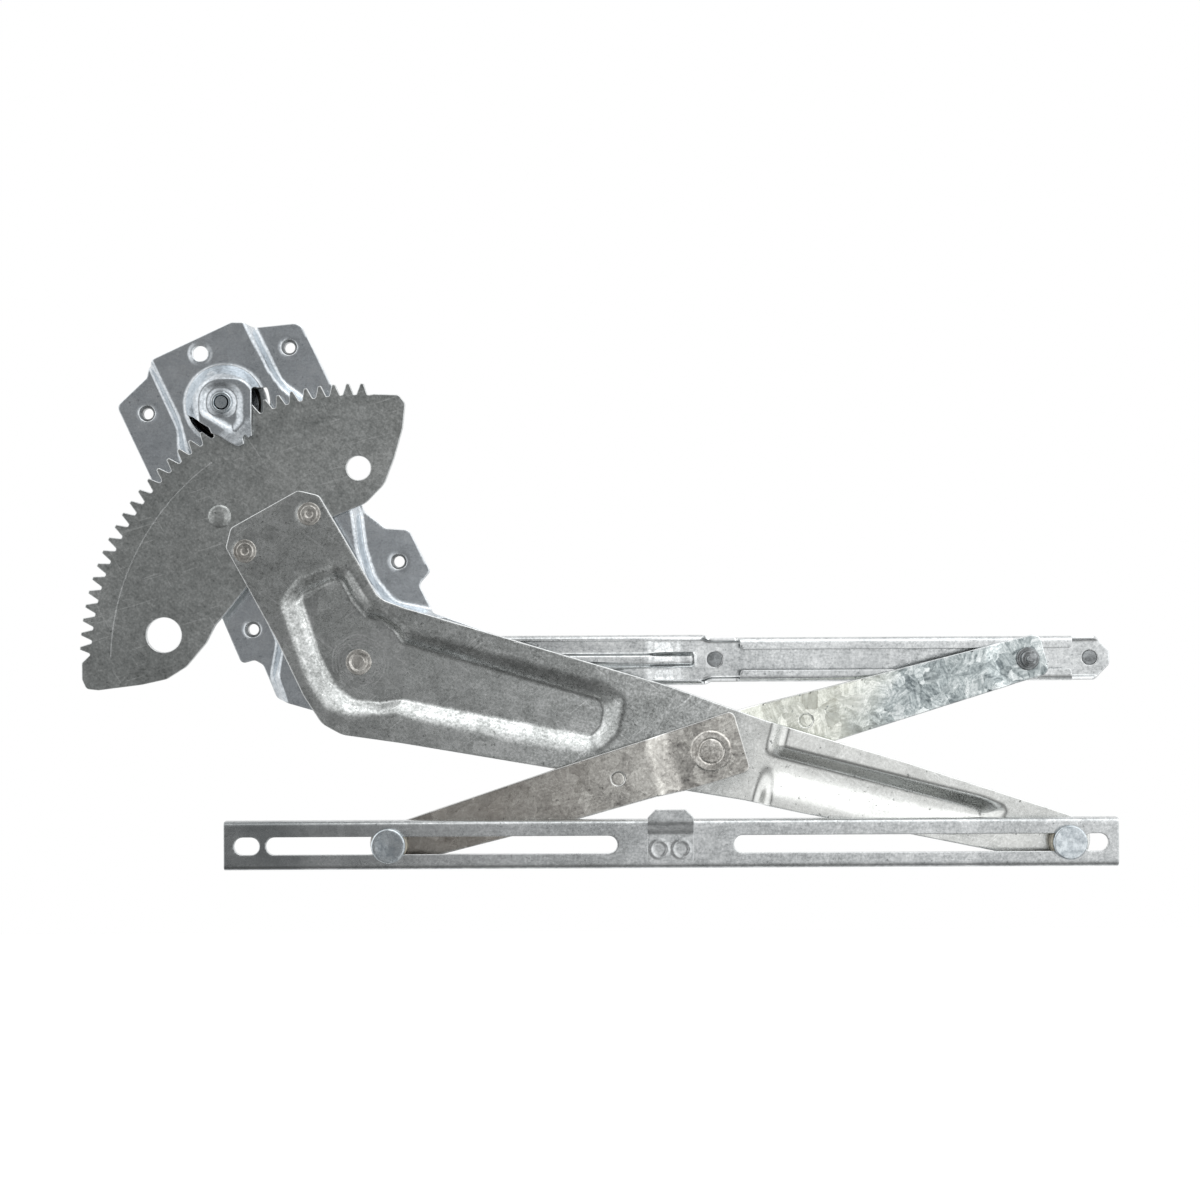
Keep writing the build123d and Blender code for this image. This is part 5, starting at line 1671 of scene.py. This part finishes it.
@dataclass
class BalanceArm:
    """Two pressed halves on either side of the lift arm, tied by the centre pin."""

    step_start: float = 16.0
    step_run: float = 12.0
    end_reach: float = 19.5
    end_run: float = 7.0
    centre_r: float = 6.5
    dimple_r: float = 2.9
    dimple_drop: float = 0.8
    front_dimple: tuple[float, float] = (43.2, 0.2)
    rear_dimple: tuple[float, float] = (45.0, 0.8)

    def front_outline(self) -> Array:
        """Edge of the front half: a square pad, then a taper to the round end.

        Returns:
            Corners of the edge.
        """
        return rounded(
            [(-14.8, 13.4), (0.0, 13.9), (15.6, 13.9), (29.2, 12.7), (66.5, 12.6), (131.0, 10.8),
             (157.4, 9.0), (157.4, -8.6), (141.4, -8.2), (68.1, -11.7), (24.2, -13.2), (14.9, -13.5),
             (-14.6, -14.8)],
            [3, 20, 6, 10, 30, 14, 8.4, 8.4, 14, 30, 10, 8, 3])[::-1]

    def rear_outline(self) -> Array:
        """Edge of the rear half, squarer at its end.

        Returns:
            Corners of the edge.
        """
        return rounded(
            [(-14.8, 13.6), (18.4, 14.0), (60.0, 12.6), (153.4, 9.8), (156.9, 8.2), (156.6, -7.4),
             (153.9, -9.3), (141.7, -9.3), (56.0, -11.6), (18.0, -13.4), (-14.6, -13.8)],
            [3, 20, 30, 3, 3.5, 3.5, 3, 20, 30, 20, 3])[::-1]

    def front_surface(self, plan: Array) -> Array:
        """Pad and step up to the lower rail's level.

        Args:
            plan: Points (x, y) in the piece's frame, in mm.

        Returns:
            Depth at each point in mm.
        """
        rise = ramp(plan[:, 0] - self.step_start, self.step_run, 3.4)
        depth = LEVEL.front_pad + (LEVEL.high - LEVEL.front_pad) * rise
        return np.column_stack([plan, depth])

    def rear_surface(self, plan: Array) -> Array:
        """Pad, step back behind the lift arm, and a second small step before the end.

        Args:
            plan: Points (x, y) in the piece's frame, in mm.

        Returns:
            Depth at each point in mm.
        """
        fall = ramp(plan[:, 0] - self.step_start, self.step_run, 3.0)
        left_of_end = LINK.balance_half - plan[:, 0]
        reach = np.where(left_of_end > 0, np.hypot(left_of_end, plan[:, 1]), 0)
        last = ramp(self.end_reach - reach, self.end_run, 2.6)
        depth = LEVEL.rear_pad - (LEVEL.rear_pad - LEVEL.rear) * fall - (LEVEL.rear - LEVEL.rear_end) * last
        return np.column_stack([plan, depth])

    def half(self, outline: Array, surface: Surface, dimple: tuple[float, float], level: float) -> Shape:
        """One half: its sheet with the pin's and stud's holes, and the half-sheared disc of its dimple.

        Args:
            outline: Edge of the half.
            surface: Its surface.
            dimple: Middle of the disc.
            level: Depth of the sheet round the disc.

        Returns:
            Closed mesh of the sheet and the disc.
        """
        holes = [circle(0, 0, self.centre_r), circle(LINK.balance_half, 0, 2.75),
                 circle(*dimple, self.dimple_r + 0.1)]
        sheet = Sheet(outline, surface, LEVEL.arm_gauge, holes, grid=0.75, roll=0.45)
        face, back = level - self.dimple_drop, level - self.dimple_drop - LEVEL.arm_gauge
        disc = turned([(0, face), (self.dimple_r, face), (self.dimple_r, back), (0, back)], [0, 0.3, 0.3, 0],
                      48, *dimple)
        return joined([sheet.shape(), disc])

    def pin(self) -> Shape:
        """Centre rivet: an upset head with a sunk ring, and its tail.

        Returns:
            The mesh.
        """
        front = LEVEL.front_pad
        back = LEVEL.rear_pad - LEVEL.arm_gauge
        return turned([(0, front + 0.5), (4.9, front + 0.5), (5.5, front + 0.1), (6.1, front + 0.5),
                       (8.5, front + 0.6), (9.3, front + 0.1), (9.3, front - 0.1),
                       (self.centre_r, front - 0.1),
                       (self.centre_r, back - 0.05), (9.3, back - 0.05), (9.3, back - 0.8), (0, back - 0.8)],
                      [0, 0.25, 0.2, 0.25, 0.4, 0.1, 0, 0, 0, 0, 0.5, 0], 84)

    def guide_stud(self) -> Shape:
        """Stepped stud: boss, step and nub towards the viewer, and the roller's journal behind.

        Returns:
            The mesh.
        """
        front = LEVEL.rear_end
        return turned([(0, front + 9.0), (1.8, front + 9.0), (1.8, front + 6.2), (3.8, front + 5.8),
                       (3.8, front + 1.6), (5.2, front + 1.5), (5.2, front), (2.75, front), (2.75, 2.8),
                       (5.0, 2.8), (5.0, 1.8), (0, 1.8)],
                      [0, 0.9, 0.4, 1.0, 0.4, 0.6, 0.1, 0, 0.1, 0.2, 0.3, 0], 64)

    def pieces(self) -> list[Piece]:
        """Both halves, the centre pin and the two studs.

        Returns:
            The pieces, in the order they are added.
        """
        end = LINK.balance_half
        front = self.half(self.front_outline(), self.front_surface, self.front_dimple, LEVEL.high)
        rear = self.half(self.rear_outline(), self.rear_surface, self.rear_dimple, LEVEL.rear)
        return [
            Piece("balance_front_sheet", front, LINK.front, Body.BALANCE, "balance_arm_front",
                  Finish.FRONT_ARM),
            Piece("balance_rear_sheet", rear, LINK.rear, Body.BALANCE, "balance_arm_rear", Finish.REAR_ARM),
            Piece("centre_rivet", self.pin(), LINK.centre, Body.BALANCE, "centre_pin", Finish.UPSET),
            Piece("front_end_stud", RollerStuds().headed(), LINK.front.beyond(end, 0), Body.BALANCE,
                  "balance_stud",
                  Finish.PLATED),
            Piece("rear_end_stud", self.guide_stud(), LINK.rear.beyond(end, 0), Body.BALANCE, "guide_stud",
                  Finish.BARE, "bare_steel"),
        ]


@dataclass
class LowerRail:
    """Channel bolted to the glass, with two long slots, two oval holes and the welded clip."""

    past_left: float = 72.9
    past_right: float = 21.9
    half: float = 10.75
    depth: float = 7.5
    bend: float = 2.6
    slot: float = 7.7
    oval: float = 11.0
    oval_inset: float = 10.3
    left_reach: tuple[float, float] = (54.0, 100.9)
    right_reach: tuple[float, float] = (148.0, 3.8)
    clip_offset: float = 18.6
    clip_width: float = 20.4

    @property
    def front_end(self) -> float:
        """Front half's stud along the rail."""
        return LINK.front.beyond(LINK.balance_half, 0).x

    @property
    def lift_end(self) -> float:
        """Lift arm's stud along the rail."""
        return LINK.lift.beyond(2 * LINK.lift_half, 0).x

    def surface(self, plan: Array) -> Array:
        """Web and two flanges by the length across them.

        Args:
            plan: Points (x, y) in the piece's frame, in mm.

        Returns:
            Depth at each point in mm.
        """
        length = np.abs(plan[:, 1])
        y, depth = folded(length, (0, self.half, self.half + self.depth),
                          ((0, LEVEL.lower_face), (self.half, LEVEL.lower_face),
                           (self.half, LEVEL.lower_back)), self.bend)
        return np.column_stack([plan[:, 0], np.sign(plan[:, 1]) * y, depth])

    def rail(self) -> Shape:
        """Channel with its slots and holes.

        Returns:
            The mesh.
        """
        left, right = self.front_end - self.past_left, self.lift_end + self.past_right
        edge = self.half + self.depth - 0.05
        outline = rounded([(left, -edge), (right, -edge), (right, edge), (left, edge)], 1.0)
        holes = [stadium(self.front_end - self.left_reach[0], self.front_end + self.left_reach[1], 0,
                         self.slot),
                 stadium(self.lift_end - self.right_reach[0], self.lift_end + self.right_reach[1], 0,
                         self.slot)]
        for x in (left + self.oval_inset, right - self.oval_inset):
            holes.append(stadium(x - self.oval / 2, x + self.oval / 2, 0, self.slot))
        return Sheet(outline, self.surface, LEVEL.rail_gauge, holes, grid=0.75, roll=0.35).shape()

    def clip_surface(self, plan: Array) -> Array:
        """Foot on the rail's face, a slope forward, and a tab, by the length up the clip.

        Args:
            plan: Points (x, y) in the piece's frame, in mm.

        Returns:
            Depth at each point in mm.
        """
        face = LEVEL.lower_face + LEVEL.rail_gauge
        knee = self.half - 5.5
        slope = math.hypot(4.5, 4.0)
        y, depth = folded(plan[:, 1] + 14.0, (0, 14.0, 14.0 + slope, 30.0 + slope),
                          ((knee - 14.0, face), (knee, face), (knee + 4.5, face + 4.0),
                           (knee + 20.5, face + 4.0)), 1.3)
        spots = np.column_stack([plan[:, 0], y])
        for x in (-4.9, 4.8):
            depth = depth + 0.2 * sunk(spots, x, -2.0, 4.6, 0.8, 0.38)
            depth = depth - 0.25 * sunk(spots, x, -2.0, 3.5, 0.8, 0.38)
        return np.column_stack([plan[:, 0], y, depth])

    def clip(self) -> Shape:
        """Stepped tab with chamfered top corners.

        Returns:
            The mesh.
        """
        side = self.clip_width / 2
        top = math.hypot(4.5, 4.0) + 6.0
        outline = rounded([(-side, -14.0), (side, -14.0), (side, top - 3.5), (side - 3.5, top),
                           (3.5 - side, top), (-side, top - 3.5)],
                          [2, 2, 0.6, 0.8, 0.8, 0.6])
        return Sheet(outline, self.clip_surface, LEVEL.rail_gauge, [], grid=0.5, roll=0.3).shape()

    def pieces(self) -> list[Piece]:
        """Rail and clip.

        Returns:
            The pieces, in the order they are added.
        """
        place = LINK.lower_rail
        return [
            Piece("lower_rail_sheet", self.rail(), place, Body.RAIL, "lower_rail", Finish.RAIL),
            Piece("rail_clip", self.clip(), Place(LINK.centre.x - self.clip_offset, place.z), Body.RAIL,
                  "glass_clip",
                  Finish.RAIL),
        ]


KEPT_NODES = {"pinion": Finish.PLATED, "crank_spindle": Finish.BARE, "wrap_spring": Finish.SPRING}


@dataclass(frozen=True)
class Studio:
    """Camera at the photograph's angle, soft boxes, a pale floor and a white surround.

    Attributes:
        eye_x: The camera's place along the door in metres.
        eye_z: Its height in metres.
        distance: Its distance from the door's plane in metres.
        frame_width: Width of the picture in metres at the frame's distance.
        frame_distance: Distance at which that width holds, in metres.
        sensor: Width of the sensor in mm.
        roll: Turn of the camera in degrees.
        floor_z: Height of the floor in metres.
        floor_half: Half the floor's side in metres.
        floor_clear: Share of mirrored rays that pass the floor to the dimmer surround.
        fill: Strength of the surround's diffuse light.
    """

    eye_x: float = 0.14839
    eye_z: float = -0.05156
    distance: float = 1.118
    frame_width: float = 0.5383
    frame_distance: float = 1.1
    sensor: float = 36.0
    roll: float = 0.3
    floor_z: float = -0.42
    floor_half: float = 1.6
    floor_clear: float = 0.82
    fill: float = 0.85

    def camera(self) -> None:
        """Perspective camera square to the door's plane."""
        data = bpy.data.cameras.new("camera")
        data.sensor_width = self.sensor
        data.lens = self.sensor * self.frame_distance / self.frame_width
        data.clip_end = 20
        eye = bpy.data.objects.new("camera", data)
        eye.location = (self.eye_x, -self.distance, self.eye_z)
        eye.rotation_euler = Euler((math.pi / 2, math.radians(self.roll), 0))
        bpy.context.scene.collection.objects.link(eye)
        bpy.context.scene.camera = eye

    def lamp(self, name: str, spot: tuple[float, float, float], size: tuple[float, float],
             power: float) -> None:
        """Rectangular soft box that faces the object.

        Args:
            name: Its name.
            spot: Its place in metres.
            size: Width and height in metres.
            power: Its power in watts.
        """
        data = bpy.data.lights.new(name, "AREA")
        data.shape = "RECTANGLE"
        data.size, data.size_y = size
        data.energy = power
        lamp = bpy.data.objects.new(name, data)
        lamp.location = spot
        aim = Vector((0.15, 0, -0.05)) - Vector(spot)
        lamp.rotation_euler = aim.to_track_quat("-Z", "Y").to_euler()
        bpy.context.scene.collection.objects.link(lamp)

    def mirrored_room(self, tree: Tree) -> bpy.types.Node:
        """Strength of what the metal mirrors, by direction.

        On the viewer's side it changes from left to right as pale walls and a dark gap would, grows
        upwards and falls off downwards. Behind the object it is the white backdrop.

        Args:
            tree: Node tree of the world.

        Returns:
            Node with the strength.
        """
        place = add_node(tree, "TexCoord", {}).outputs["Generated"]
        parts = add_node(tree, "SeparateXYZ", {"Vector": place}).outputs
        across = ramp_node(tree, spread(tree, parts["X"], -1.0, 1.0), self.walls())
        across = add_node(tree, "Math", {"operation": "MULTIPLY", "0": across, "1": 2.0})
        above = spread(tree, parts["Z"], 0.3, 0.8, 0.0, 0.5)
        below = spread(tree, parts["Z"], -0.65, -0.12, 0.24, 1.0)
        front = add_node(tree, "Math", {"operation": "ADD", "0": across, "1": above})
        front = add_node(tree, "Math", {"operation": "MULTIPLY", "0": front, "1": below})
        back = spread(tree, parts["Y"], -0.1, 0.25)
        return add_node(tree, "Mix", {"data_type": "FLOAT", "Factor": back, "2": front, "3": 1.0})

    def walls(self) -> list[tuple[float, str]]:
        """Greys of the room on the viewer's side, from left to right."""
        return [(0.0, "#d4d4d4"), (0.2, "#c4c4c4"), (0.3, "#9c9c9c"), (0.37, "#626262"), (0.475, "#585858"),
                (0.515, "#c4c4c4"), (0.6, "#bebebe"), (0.72, "#e2e2e2"), (0.85, "#c4c4c4"), (1.0, "#a8a8a8")]

    def surround(self) -> None:
        """World: white where it is seen or mirrored from behind the object, dimmer on the viewer's side."""
        world = bpy.data.worlds.new("surround")
        bpy.context.scene.world = world
        world.use_nodes = True
        tree = world.node_tree
        tree.nodes.clear()
        path = add_node(tree, "LightPath", {}).outputs
        shown = self.mirrored_room(tree)
        seen = path["Is Camera Ray"]
        for kind in ("Is Camera Ray", "Is Transmission Ray"):
            shown = add_node(tree, "Math", {"operation": "MAXIMUM", "0": shown, "1": path[kind]})
        for kind in ("Is Glossy Ray", "Is Transmission Ray"):
            seen = add_node(tree, "Math", {"operation": "MAXIMUM", "0": seen, "1": path[kind]})
        white = (1, 1, 1, 1)
        lit = add_node(tree, "Background", {"Color": white, "Strength": self.fill})
        looked_at = add_node(tree, "Background", {"Color": white, "Strength": shown})
        both = add_node(tree, "MixShader", {"0": seen, "1": lit, "2": looked_at})
        add_node(tree, "OutputWorld", {"Surface": both})

    def floor(self) -> None:
        """Pale floor under the object, which keeps its shadow and shows as white where it is lit."""
        side = self.floor_half
        mesh = bpy.data.meshes.new("floor")
        corners = [(x, y, self.floor_z) for x,
                   y in ((-side, -side), (side, -side), (side, side), (-side, side))]
        mesh.from_pydata(corners, [], [(0, 1, 2, 3)])
        material = bpy.data.materials.new("matt_white_board")
        material.use_nodes = True
        tree = material.node_tree
        tree.nodes.clear()
        path = add_node(tree, "LightPath", {}).outputs
        board = add_node(tree, "BsdfDiffuse", {"Color": linear("#f4f4f3")})
        glow = add_node(tree, "Emission", {"Color": (1, 1, 1, 1), "Strength": 0.75})
        bright = add_node(tree, "AddShader", {"0": board, "1": glow})
        shown = add_node(tree, "MixShader", {"0": path["Is Camera Ray"], "1": board, "2": bright})
        passed = add_node(tree, "Math",
                          {"operation": "MULTIPLY", "0": path["Is Glossy Ray"], "1": self.floor_clear})
        clear = add_node(tree, "BsdfTransparent", {})
        shown = add_node(tree, "MixShader", {"0": passed, "1": shown, "2": clear})
        add_node(tree, "OutputMaterial", {"Surface": shown})
        mesh.materials.append(material)
        floor = bpy.data.objects.new("floor", mesh)
        bpy.context.scene.collection.objects.link(floor)

    def build(self) -> None:
        """Sets up the whole studio."""
        self.camera()
        self.surround()
        self.floor()
        self.lamp("high_box", (0.2, -0.7, 1.1), (0.9, 0.5), 1.2)
        self.lamp("right_box", (1.4, -0.6, 0.3), (0.5, 0.9), 1.4)
        bpy.context.scene.view_settings.view_transform = "Standard"


def main() -> None:
    """Builds the regulator's pieces in order and reports each."""
    logging.basicConfig(level=logging.INFO, format="%(name)s %(message)s")
    Studio().build()
    materials = {finish: finish.value.material() for finish in Finish}
    for assembly in (BasePlate(), FixedRail(), LiftArm(), BalanceArm(), RollerStuds(), LowerRail()):
        for piece in assembly.pieces():
            piece.add(materials)
    for name, finish in KEPT_NODES.items():
        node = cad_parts[name]
        node.data.materials.clear()
        node.data.materials.append(materials[finish])
        log.info("%s kept, with %s", name, finish.value.name)


if __name__ == "__main__":
    main()
